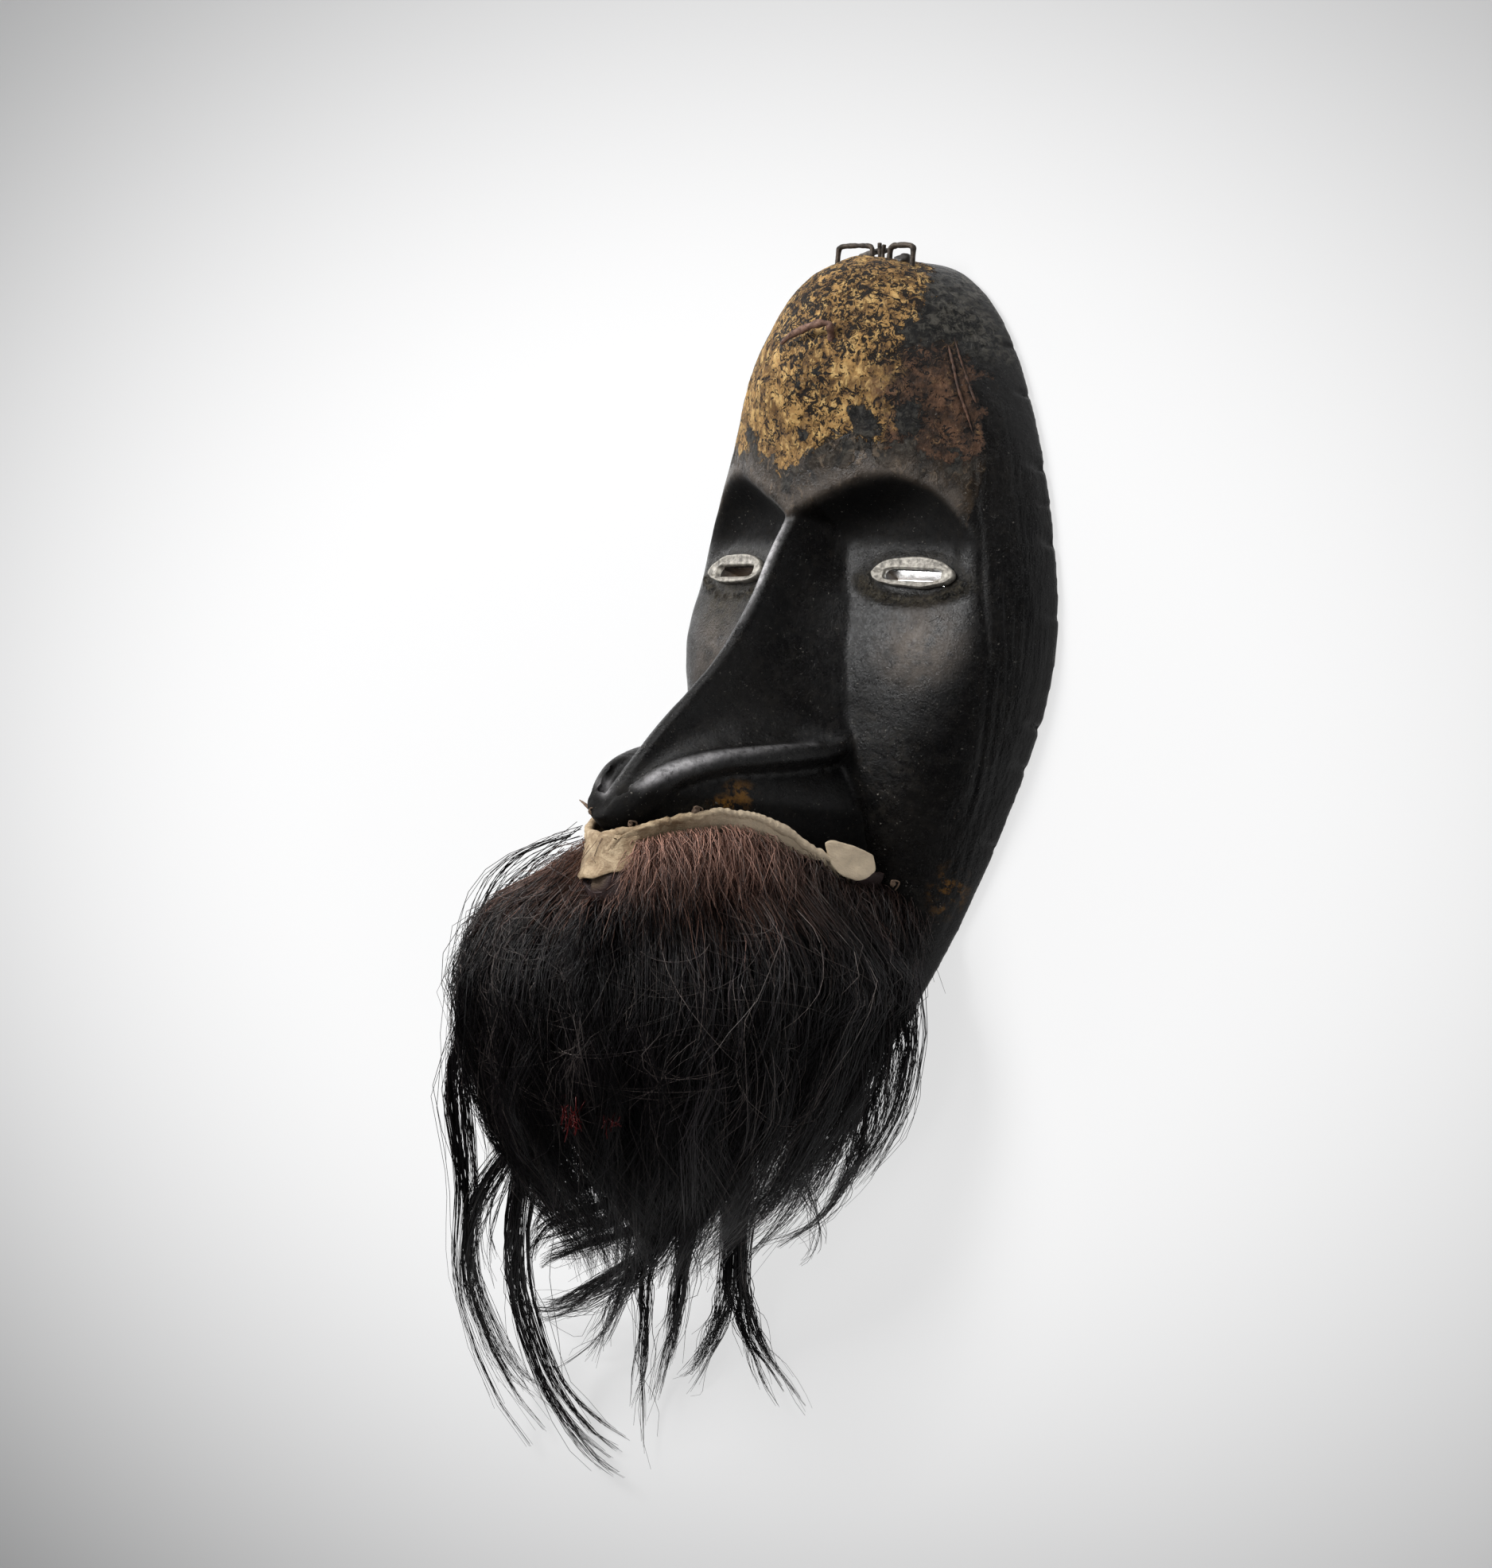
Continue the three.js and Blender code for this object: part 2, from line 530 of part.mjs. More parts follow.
// Everything above the upper edge of the hide, to trim the pelt there.
function aboveHide() {
  const edge = profile(JAW, 2);
  const shape = new THREE.Shape();
  const reach = 150;
  shape.moveTo(-reach, 0);
  shape.lineTo(reach, 0);
  shape.lineTo(reach, edge(JAW[JAW.length - 1][0]) + HIDE_LIP);
  for (let z = 116; z >= 0; z -= 8) shape.lineTo(z, edge(z) + HIDE_LIP);
  shape.lineTo(-reach, edge(0) + HIDE_LIP);
  shape.closePath();
  const block = new THREE.ExtrudeGeometry(shape, { depth: 300, bevelEnabled: false });
  return block.translate(0, 0, -150).applyMatrix4(new THREE.Matrix4().makeRotationY(-Math.PI / 2));
}

function belowSurface() {
  return new THREE.BoxGeometry(600, 600, 60).translate(0, 0, FLOOR_CLEARANCE - 30);
}

// The carved wood: shell, beak, muzzle and jaw in one, pierced at the eyes.
function woodenMask() {
  const whole = [beak(0), snout(MUZZLE, 0, 2.4), snout(JAW, 0, 2.6)]
    .reduce((solid, piece) => solid.add(toSolid(piece)), toSolid(shellBlock(OUTER_ROWS, 0, 0, 0)));
  const hollow = shellBlock(INNER_ROWS, WALL, 0, -5);
  const openings = [1, -1].flatMap((side) => [ontoEye(eyeSeat(), side), ontoEye(eyeHole(), side)]);
  const holes = [staple(widened(STAPLE_LEFT)), staple(widened(STAPLE_RIGHT)), stub(widened(STUB)), nailHole()];
  return cut(whole, [hollow, ...openings, ...holes]).simplify(SMOOTH_TO);
}

function widened(fitting) {
  return { ...fitting, wire: fitting.wire + 2 * GAP };
}

function nailHole() {
  return bar(nailWay(), () => NAIL.wire / 2 + 0.7, 6);
}

// A coarse filled shell, wide enough to keep the pelt off the wood.
function woodKeepOut() {
  return shellBlock({ crown: 3, ledge: [1], lower: 13, columns: 9 }, 0, KEEP_OUT, -10);
}

function furBeard() {
  const hide = toSolid(snout(JAW, HIDE, 2.6));
  const hair = [hairMass(), ...LOCKS.map(lock)].map(toSolid);
  const pelt = hair.reduce((solid, piece) => solid.add(piece), hide);
  const wood = [woodKeepOut(), beak(3 * GAP), snout(MUZZLE, GAP * 1.5, 2.4), snout(JAW, GAP * 1.5, 2.6)];
  return largest(cut(pelt, [...wood, aboveHide(), belowSurface()]).simplify(SMOOTH_TO));
}

const mask = new THREE.Group();
mask.add(makeMesh("wooden_mask", toGeometry(woodenMask()), 0x2a211c, 0.42));
mask.add(makeMesh("eye_ring_left", ontoEye(eyePlate(), 1), 0xb9b6b0, 0.45, 0.6));
mask.add(makeMesh("eye_ring_right", ontoEye(eyePlate(), -1), 0xb9b6b0, 0.45, 0.6));
mask.add(makeMesh("crown_staple_left", staple(STAPLE_LEFT), 0x4b3a2c, 0.8, 0.4));
mask.add(makeMesh("crown_staple_right", staple(STAPLE_RIGHT), 0x4b3a2c, 0.8, 0.4));
mask.add(makeMesh("crown_nail", stub(STUB), 0x4b3a2c, 0.8, 0.4));
mask.add(makeMesh("forehead_nail", foreheadNail(), 0x5a3a2c, 0.8, 0.3));
mask.add(makeMesh("fur_beard", toGeometry(furBeard()), 0x15100f, 0.6));

// The middle of the whole object's footprint becomes the origin.
const box = new THREE.Box3().setFromObject(mask);
mask.position.set(-(box.min.x + box.max.x) / 2, -(box.min.y + box.max.y) / 2, -box.min.z);

export default mask;
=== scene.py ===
"""Looks of a carved wooden face mask with a beak and a pelt beard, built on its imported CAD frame."""

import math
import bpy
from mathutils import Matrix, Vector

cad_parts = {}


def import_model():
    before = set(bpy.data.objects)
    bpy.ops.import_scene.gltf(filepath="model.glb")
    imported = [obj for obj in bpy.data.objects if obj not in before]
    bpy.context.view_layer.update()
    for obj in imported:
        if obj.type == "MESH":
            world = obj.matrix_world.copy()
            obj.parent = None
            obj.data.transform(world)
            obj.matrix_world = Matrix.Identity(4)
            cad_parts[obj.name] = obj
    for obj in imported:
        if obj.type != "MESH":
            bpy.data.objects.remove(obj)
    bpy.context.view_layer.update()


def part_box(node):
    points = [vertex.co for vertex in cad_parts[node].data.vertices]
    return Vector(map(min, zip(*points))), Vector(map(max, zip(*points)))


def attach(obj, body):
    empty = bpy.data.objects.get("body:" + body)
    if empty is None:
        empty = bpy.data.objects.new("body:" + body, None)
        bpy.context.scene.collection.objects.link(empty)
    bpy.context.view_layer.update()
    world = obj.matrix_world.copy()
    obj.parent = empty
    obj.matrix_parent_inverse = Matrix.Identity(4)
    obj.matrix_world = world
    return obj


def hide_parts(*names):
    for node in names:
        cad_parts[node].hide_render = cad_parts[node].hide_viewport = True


bl_info = {
    "name": "Beaked Face Mask",
    "version": (1, 0, 0),
    "blender": (4, 5, 0),
    "location": "View3D > Sidebar > Mask",
    "description": "Carved wood, metal eye rims, iron fittings and a fur beard for a beaked face mask",
    "category": "Object",
}

import bpy
import numpy as np
from mathutils import Matrix, Vector, noise

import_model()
BODY = "root"
MM = 0.001

# The carving's own sizes in millimetres, the same as in the CAD source. X is the mask's own left,
# Y runs up to the crown and Z out of the face, from the middle of the rim.
CROWN_Y = 122.7
CHIN_Y = -117.0
WIDEST_Y = 12.0
HALF_WIDTH = 69.5
CROWN_ROUNDNESS, CHIN_ROUNDNESS = 0.37, 0.645
WALL = 8.0
SECTION_POWER = 1.8
# Depth of the dome and of the face plane at each height, and height of the brow at each place across.
DOME_DEPTH = [
    (-124, 18), (-63, 31), (-43, 40), (-15, 53), (5, 55), (30, 47), (62, 45),
    (85, 48.5), (103, 44.5), (115, 38), (121, 29), (124, 20),
]
PLANE_DEPTH = [
    (-124, 14), (-80, 22), (-45, 31), (-15, 35.5), (6, 35), (29, 30), (48, 24.5), (60, 24),
]
PLANE_SLOPE = 0.2
PLANE_FROM_X = 25.0
TEMPLE_ROUNDING = 9.0
BROW_LEDGE = 15.0
TEMPLE_X, TEMPLE_FADE, TEMPLE_MOST = 46.0, 2.2, 30.0
BROW_ARCH = [
    (0, 44.5), (12, 50.5), (29, 57), (41, 54.5), (50, 47), (56, 39), (62, 30), (70, 20),
]
EYE_X, EYE_Y = 36.2, 29.0
EYE_LENGTH, EYE_HEIGHT = 28.6, 9.3
EYE_SLIT, EYE_SLIT_HEIGHT, SLIT_DROP = 21.0, 3.7, 0.9
EYE_TURN = 0.2
# The beak's ridge and its lower side edge: share of the way out, then x, y and z.
RIDGE = [
    (0, 0, 47, 43), (0.14, 0, 35, 49), (0.3, 0, 19, 56.2), (0.46, 0, 3, 66),
    (0.6, 0, -11, 79), (0.8, 0, -30, 96.6), (0.93, 0, -42, 105.5), (1, 0, -47.5, 108.5),
]
WING = [
    (0, 7, 47, 34), (0.14, 15, 36, 27), (0.3, 22, 17, 31), (0.46, 24.5, -4, 34), (0.56, 24.5, -19, 37),
    (0.66, 21, -23.5, 58), (0.77, 17, -26.5, 78), (0.88, 13.5, -31.5, 94), (0.95, 11, -37, 101.5),
    (1, 8.5, -42, 105.5),
]
RIDGE_RADIUS = 2.3
ROOT_LIP, LIP, TIP_LIP, LIP_BULGE = 7, 9.0, 12.0, 1.6
TIP_GROOVE, TIP_LENGTH = 2.6, 5.0
# Shares of the beak's length: where it leaves the face, over what stretch, and where its tip begins.
FREE_FROM, FREE_OVER, TIP_FROM = 0.5, 0.16, 0.62
LIP_CREASE = 1.5
# The muzzle and the jaw: depth, half width, top and bottom.
MUZZLE = [
    (14, 26, -12, -60), (37, 23.5, -21, -60), (58, 20, -26, -60), (78, 15.5, -30, -58),
    (90, 11, -35, -56), (96, 5.5, -41, -52),
]
JAW = [
    (8, 30, -60, -108), (26, 27, -59, -104), (38, 26, -59, -99), (54, 22.5, -52, -92),
    (72, 18, -46.5, -86), (90, 13, -49.5, -79), (101, 9, -53, -73), (105.5, 4, -57, -68),
]
# The mass of hair: height, long and short half width of its section, its sweep and its depth.
HAIR_MASS = [
    (-54, 47, 30, 66, 62), (-60, 52, 32, 71, 62), (-77, 60.5, 41, 71, 61), (-101, 67.5, 46, 69, 60.5),
    (-122, 66, 46, 70.5, 59), (-138, 58, 41, 71.5, 55), (-152, 49, 32, 72.5, 49),
    (-163, 38, 22, 74, 43), (-170, 27, 12, 75, 39),
]
# How far the mass of hair and its single hairs stay above the surface.
FLOOR_CLEARANCE = 0.6
HAIR_FLOOR = 0.4
HAIR_SIDES = 3
JAW_POWER = 2.6

# The picture that the camera matches, in pixels: its size and where the middle of the rim stands.
PICTURE_WIDTH, PICTURE_HEIGHT = 1876, 1972
RIM_AT_X, RIM_AT_Y = 1112, 858
VIEW_TURN, VIEW_RISE, VIEW_ROLL = 45, -3, 5
SENSOR = 36

wood_low, wood_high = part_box("wooden_mask")
ORIGIN = Vector(((wood_low.x + wood_high.x) / 2, wood_high.y - CROWN_Y * MM, 0.0))


def profile(pairs, column=1):
    """A smooth function through a few rows, level beyond both ends; takes numbers or arrays."""
    at = np.array([row[0] for row in pairs], float)
    values = np.array([row[column] for row in pairs], float)
    if at[0] > at[-1]:
        at, values = at[::-1], values[::-1]
    before = np.maximum(np.arange(len(at)) - 1, 0)
    after = np.minimum(np.arange(len(at)) + 1, len(at) - 1)
    slopes = (values[after] - values[before]) / (at[after] - at[before])

    def curve(x):
        x = np.clip(np.asarray(x, float), at[0], at[-1])
        i = np.clip(np.searchsorted(at, x, side="right") - 1, 0, len(at) - 2)
        width = at[i + 1] - at[i]
        t = (x - at[i]) / width
        h = t * t * (3 - 2 * t)
        bend = slopes[i] * width * t * (1 - t) ** 2 - slopes[i + 1] * width * t * t * (1 - t)
        return values[i] * (1 - h) + values[i + 1] * h + bend

    return curve


def smoothstep(t):
    """Eases from 0 to 1 while t does."""
    c = np.clip(t, 0, 1)
    return c * c * (3 - 2 * c)


def smooth_min(a, b, k):
    """The lower of two surfaces, with a rounding of k where they meet."""
    h = np.maximum(k - np.abs(a - b), 0) / k
    return np.minimum(a, b) - h * h * k * 0.25


def soft_power(t, power):
    """A power of t that starts level."""
    start = 0.04
    base = start ** (power / 2)
    return ((t * t + start) ** (power / 2) - base) / ((1 + start) ** (power / 2) - base)


def half_width(y):
    """Half width of the egg-shaped rim at height y."""
    y = np.asarray(y, float)
    upper = y > WIDEST_Y
    t = np.where(upper, (y - WIDEST_Y) / (CROWN_Y - WIDEST_Y), (WIDEST_Y - y) / (WIDEST_Y - CHIN_Y))
    left = np.maximum(1 - soft_power(np.clip(t, 0, 1), 1.02), 0)
    return HALF_WIDTH * np.power(left, np.where(upper, CROWN_ROUNDNESS, CHIN_ROUNDNESS))


dome_depth = profile(DOME_DEPTH)
plane_depth = profile(PLANE_DEPTH)
brow_arch = profile(BROW_ARCH)


def front_brow(x):
    return brow_arch(np.abs(x))


def cove(t):
    """The hollow below a brow: it falls steeply at first and then runs out gently."""
    c = np.clip(t, 0, 1)
    eased = np.where(c < 0.12, c * c / 0.24, c - 0.06) / 0.94
    return 1 - np.power(np.maximum(1 - eased, 0), 2.2)


def ledge_drop(x):
    """How deep the ledge below the brow reaches, more at the temples."""
    return BROW_LEDGE + np.minimum(TEMPLE_FADE * np.maximum(np.abs(x) - TEMPLE_X, 0), TEMPLE_MOST)


def front_height(x, y, dome, sink, lead):
    """The carved front: the dome cut back by the face plane below the arched brows."""
    plane = plane_depth(y) - PLANE_SLOPE * (np.abs(x) - PLANE_FROM_X) - sink
    below = cove((front_brow(x) - y + lead) / (ledge_drop(x) + lead * 2))
    carved = smooth_min(dome, plane, TEMPLE_ROUNDING)
    return dome + (np.minimum(carved, dome) - dome) * below


def shell_grid(crown, ledge, lower, columns, wall):
    """One face of the shell as columns of points from crown to chin."""
    grid = []
    for j in range(-columns, columns + 1):
        angle = abs(j) / columns * math.pi / 2
        across = math.copysign(math.sin(angle) ** (2 / SECTION_POWER), j) if j else 0.0
        up = 0.0 if abs(j) == columns else math.cos(angle) ** (2 / SECTION_POWER)
        brow = 45.0
        for _ in range(4):
            brow = float(brow_arch(min(float(half_width(brow)) * abs(across), TEMPLE_X)))
        y = np.concatenate([
            CROWN_Y + (brow - CROWN_Y) * (np.arange(crown + 1) / crown) ** 1.5,
            brow - BROW_LEDGE * (np.arange(1, ledge + 1) / ledge),
            brow - BROW_LEDGE + (CHIN_Y - brow + BROW_LEDGE) * (np.arange(1, lower + 1) / lower),
        ])
        x = across * half_width(y) * (1 - wall / HALF_WIDTH)
        crown_stretch = 1 - wall / (CROWN_Y - WIDEST_Y)
        chin_stretch = 1 - wall * 1.6 / (WIDEST_Y - CHIN_Y)
        stretch = np.where(y > WIDEST_Y, crown_stretch, chin_stretch)
        dome = (dome_depth(y) - wall) * up
        z = np.maximum(front_height(x, y, dome, wall, wall * 0.8), 0) if up else np.zeros_like(y)
        grid.append(np.stack([x, WIDEST_Y + (y - WIDEST_Y) * stretch, z], axis=1))
    return np.array(grid)


def grid_faces(rows, count, loop, start=0):
    """Quads between neighbouring rows of a grid whose points are numbered row by row."""
    i, j = np.meshgrid(np.arange(rows - 1), np.arange(count if loop else count - 1), indexing="ij")
    i, j = i.ravel() * count, j.ravel()
    nxt = (j + 1) % count
    return (np.stack([i + j, i + nxt, i + count + nxt, i + count + j], axis=1) + start).tolist()


def block_shape(grid, base_z):
    """A closed block between one face of the shell and a flat base."""
    rows, count = grid.shape[:2]
    base = grid.copy()
    base[:, :, 2] = base_z
    points = np.concatenate([grid.reshape(-1, 3), base.reshape(-1, 3)])
    faces = grid_faces(rows, count, False)
    under = [f[::-1] for f in grid_faces(rows, count, False, rows * count)]
    walls = []
    if base_z != 0:
        shift = rows * count
        for k in range(count - 1):
            low, high = k, (rows - 1) * count + k
            walls.append([low, low + shift, low + 1 + shift, low + 1])
            walls.append([high, high + 1, high + 1 + shift, high + shift])
    return points, faces + under + walls


def loft_shape(rings):
    """A closed tube through rings with equal numbers of points."""
    rings = np.asarray(rings, float)
    rows, count = rings.shape[:2]
    points = rings.reshape(-1, 3)
    faces = grid_faces(rows, count, True)
    faces.append(list(range(count))[::-1])
    faces.append([(rows - 1) * count + k for k in range(count)])
    return points, faces


def beak_shape():
    """The beak as rings round its ridge, sides, rolled lips and underside."""
    stations, side_steps = 110, 18
    ridge_y, ridge_z = profile(RIDGE, 2), profile(RIDGE, 3)
    wing_at = [profile(WING, column) for column in (1, 2, 3)]
    out = np.array([1.0, 0, 0])
    rings = []
    for k in range(stations + 1):
        t = k / stations
        free = float(smoothstep((t - FREE_FROM) / FREE_OVER))
        tip = float(smoothstep((t - TIP_FROM) / (1 - TIP_FROM)))
        ridge = np.array([0, float(ridge_y(t)), float(ridge_z(t))])
        wing = np.array([float(f(t)) for f in wing_at])
        under = np.array([0, -0.81 * free, -0.59 * free - (1 - free)])
        under /= np.linalg.norm(under)
        lip = ROOT_LIP + ((LIP + (TIP_LIP - LIP) * tip) - ROOT_LIP) * free
        side = []
        for s in range(1, side_steps + 1):
            v = s / side_steps * (1 - 0.13 * free)
            point = ridge * (1 - v) + wing * v
            point[0] = RIDGE_RADIUS + (wing[0] - RIDGE_RADIUS) * v ** 1.6
            point += under * TIP_GROOVE * tip * math.sin(math.pi * min(v * 1.15, 1))
            point += under * LIP_CREASE * free * (1 - tip * 0.6) * float(smoothstep((v - 0.6) / 0.27))
            side.append(point)
        shoulder = ridge + under * 0.7
        shoulder[0] = RIDGE_RADIUS * 0.8
        radius = lip * 0.37
        centre = wing + under * (radius - 0.5) + out * (LIP_BULGE - radius)
        roll = []
        for step, angle in enumerate((2.0, 1.55, 1.1, 0.65, 0.2, -0.25, -0.65)):
            turned = centre + radius * (math.cos(angle) * out - math.sin(angle) * under)
            straight = wing + under * lip * 0.45 * step / 6
            roll.append(straight * (1 - free) + turned * free)
        lower = wing + under * lip
        lower[0] -= 1.5 + 2.0 * free
        half = [shoulder, *side, *roll, (roll[-1] + lower) / 2, lower]
        keel = np.array([0, lower[1], lower[2]]) - under * 0.5
        mirrored = [p * np.array([-1, 1, 1]) for p in half][::-1]
        rings.append([ridge, *half, keel, *mirrored])
    end = np.array(rings[-1])
    middle = end.mean(axis=0)
    ahead = np.array([0, -0.62, 0.78])
    for angle in (0.25, 0.5, 0.75, 0.95, 1.15, 1.35):
        rings.append((end - middle) * math.cos(angle) + middle + ahead * TIP_LENGTH * math.sin(angle))
    return loft_shape(rings)


def rounded(turn, power):
    """Both coordinates of a rounded box at each angle."""
    c, d = np.cos(turn), np.sin(turn)
    return np.sign(c) * np.abs(c) ** (2 / power), np.sign(d) * np.abs(d) ** (2 / power)


def snout_stations(rows, grow, stations):
    """Half width, middle height, half height and depth of a snout from its root to its end."""
    half_at, top_at, bottom_at = (profile(rows, column) for column in (1, 2, 3))
    first, last = rows[0][0], rows[-1][0]
    for k in range(stations + 1):
        z = first + (last - first) * math.sin(k / stations * math.pi / 2)
        middle = float(top_at(z) + bottom_at(z)) / 2
        high = float(top_at(z) - bottom_at(z)) / 2 + grow
        yield float(half_at(z)) + grow, middle, high, z, z + grow * (k / stations) ** 2


def snout_rings(rows, power):
    """A rounded block that narrows from the face to its end."""
    sides = 64
    across, up = rounded(np.arange(sides) / sides * 2 * math.pi, power)
    return [
        np.stack([half * across, middle + high * up, np.full(sides, out)], axis=1)
        for half, middle, high, _, out in snout_stations(rows, 0, 50)
    ]


def world(points):
    """The mask's own millimetres in the shared frame's metres."""
    return np.asarray(points, float) * MM + np.array(ORIGIN)


def smooth(piece):
    piece.data.polygons.foreach_set("use_smooth", [True] * len(piece.data.polygons))


def linked(name, mesh):
    piece = bpy.data.objects.new(name, mesh)
    bpy.context.scene.collection.objects.link(piece)
    return piece


def mesh_object(name, points, faces):
    """A new piece from points in the mask's own millimetres."""
    mesh = bpy.data.meshes.new(name)
    mesh.from_pydata(world(points).tolist(), [], faces)
    mesh.update()
    piece = linked(name, mesh)
    smooth(piece)
    return piece


def only(piece):
    """Selects one object alone and makes it active."""
    if bpy.context.object and bpy.context.object.mode != "OBJECT":
        bpy.ops.object.mode_set(mode="OBJECT")
    bpy.ops.object.select_all(action="DESELECT")
    piece.hide_set(False)
    piece.select_set(True)
    bpy.context.view_layer.objects.active = piece


def tidy_normals(piece):
    """Merges doubled points and turns every face outwards."""
    only(piece)
    bpy.ops.object.mode_set(mode="EDIT")
    bpy.ops.mesh.select_all(action="SELECT")
    bpy.ops.mesh.remove_doubles(threshold=1e-6)
    bpy.ops.mesh.dissolve_degenerate(threshold=1e-7)
    bpy.ops.mesh.normals_make_consistent(inside=False)
    bpy.ops.object.mode_set(mode="OBJECT")


def apply_modifier(piece, kind, **settings):
    only(piece)
    bpy.ops.object.modifier_add(type=kind)
    modifier = piece.modifiers[-1]
    for key, value in settings.items():
        setattr(modifier, key, value)
    bpy.ops.object.modifier_apply(modifier=modifier.name)


def cut_away(piece, cutter):
    apply_modifier(piece, "BOOLEAN", operation="DIFFERENCE", solver="EXACT", object=cutter)
    bpy.data.objects.remove(cutter)


def coordinates(piece):
    """The piece's vertices in the mask's own millimetres."""
    co = np.zeros(len(piece.data.vertices) * 3)
    piece.data.vertices.foreach_get("co", co)
    return (co.reshape(-1, 3) - np.array(ORIGIN)) / MM


def set_coordinates(piece, points):
    piece.data.vertices.foreach_set("co", world(points).ravel())
    piece.data.update()


def vertex_normals(piece):
    normals = np.zeros(len(piece.data.vertices) * 3)
    piece.data.vertex_normals.foreach_get("vector", normals)
    return normals.reshape(-1, 3)


def paint(piece, name, values):
    """Writes one number for each vertex, for a material to read."""
    layer = piece.data.attributes.new(name, "FLOAT", "POINT")
    layer.data.foreach_set("value", np.asarray(values, np.float32))


def paint_colour(piece, name, colours):
    layer = piece.data.attributes.new(name, "FLOAT_COLOR", "POINT")
    flat = np.ones((len(colours), 4), np.float32)
    flat[:, :3] = colours
    layer.data.foreach_set("color", flat.ravel())


def finish_piece(piece, slot, *nodes):
    """Rides the piece on the mask's body and hides the imported parts that it stands for."""
    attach(piece, BODY)
    if nodes:
        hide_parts(*nodes)


class Nodes:
    """Short calls that add and link material nodes."""

    def __init__(self, name):
        self.material = bpy.data.materials.new(name)
        self.material.use_nodes = True
        self.tree = self.material.node_tree
        self.tree.nodes.clear()
        self.output = self.add("ShaderNodeOutputMaterial")
        self.shader = self.add("ShaderNodeBsdfPrincipled")
        self.tree.links.new(self.shader.outputs["BSDF"], self.output.inputs["Surface"])

    def add(self, kind, **settings):
        node = self.tree.nodes.new(kind)
        for key, value in settings.items():
            setattr(node, key, value)
        return node

    def put(self, socket, value):
        if isinstance(value, bpy.types.NodeSocket):
            self.tree.links.new(value, socket)
        elif value is not None:
            socket.default_value = value

    def place(self, stretch):
        """Object coordinates, stretched."""
        mapping = self.add("ShaderNodeMapping")
        self.put(mapping.inputs["Vector"], self.add("ShaderNodeTexCoord").outputs["Object"])
        mapping.inputs["Scale"].default_value = stretch
        return mapping.outputs["Vector"]

    def noise(self, scale, detail=4.0, rough=0.55, stretch=(1, 1, 1), distortion=0.0):
        node = self.add("ShaderNodeTexNoise")
        self.put(node.inputs["Vector"], self.place(stretch))
        node.inputs["Scale"].default_value = scale
        node.inputs["Detail"].default_value = detail
        node.inputs["Roughness"].default_value = rough
        node.inputs["Distortion"].default_value = distortion
        return node.outputs["Fac"]

    def cells(self, scale):
        node = self.add("ShaderNodeTexVoronoi", feature="F1")
        self.put(node.inputs["Vector"], self.place((1, 1, 1)))
        node.inputs["Scale"].default_value = scale
        return node.outputs["Distance"]

    def math(self, operation, a, b=None, clamp=False):
        node = self.add("ShaderNodeMath", operation=operation, use_clamp=clamp)
        self.put(node.inputs[0], a)
        self.put(node.inputs[1], b)
        return node.outputs[0]

    def times(self, a, b):
        return self.math("MULTIPLY", a, b)

    def plus(self, a, b, clamp=False):
        return self.math("ADD", a, b, clamp)

    def wander(self, amount, *settings):
        """Noise that swings both ways about zero."""
        return self.times(self.math("SUBTRACT", self.noise(*settings), 0.5), amount)

    def span(self, value, low, high, out_low=0.0, out_high=1.0):
        """Eases from one value to another while the input goes from low to high."""
        node = self.add("ShaderNodeMapRange", interpolation_type="SMOOTHSTEP")
        self.put(node.inputs["Value"], value)
        ends = {"From Min": low, "From Max": high, "To Min": out_low, "To Max": out_high}
        for key, number in ends.items():
            self.put(node.inputs[key], number)
        return node.outputs["Result"]

    def patches(self, low, high, *settings):
        """Noise cut into patches with soft edges."""
        return self.span(self.noise(*settings), low, high)

    def mix(self, factor, a, b):
        node = self.add("ShaderNodeMix", data_type="RGBA", blend_type="MIX")
        colour_a, colour_b, colour_out = 6, 7, 2
        self.put(node.inputs["Factor"], factor)
        self.put(node.inputs[colour_a], a)
        self.put(node.inputs[colour_b], b)
        return node.outputs[colour_out]

    def cover(self, base, mask, amount, *colour):
        """Lays a colour over the base, most where the mask is strongest."""
        return self.mix(self.times(mask, amount), base, rgb(*colour))

    def layer(self, name, output="Fac"):
        return self.add("ShaderNodeAttribute", attribute_name=name).outputs[output]

    def bump(self, height, strength, distance):
        node = self.add("ShaderNodeBump")
        self.put(node.inputs["Height"], height)
        node.inputs["Strength"].default_value = strength
        node.inputs["Distance"].default_value = distance
        return node.outputs["Normal"]

    def shade(self, **values):
        for key, value in values.items():
            self.put(self.shader.inputs[key.replace("_", " ")], value)
        return self.material


def rgb(r, g, b):
    return (r, g, b, 1.0)


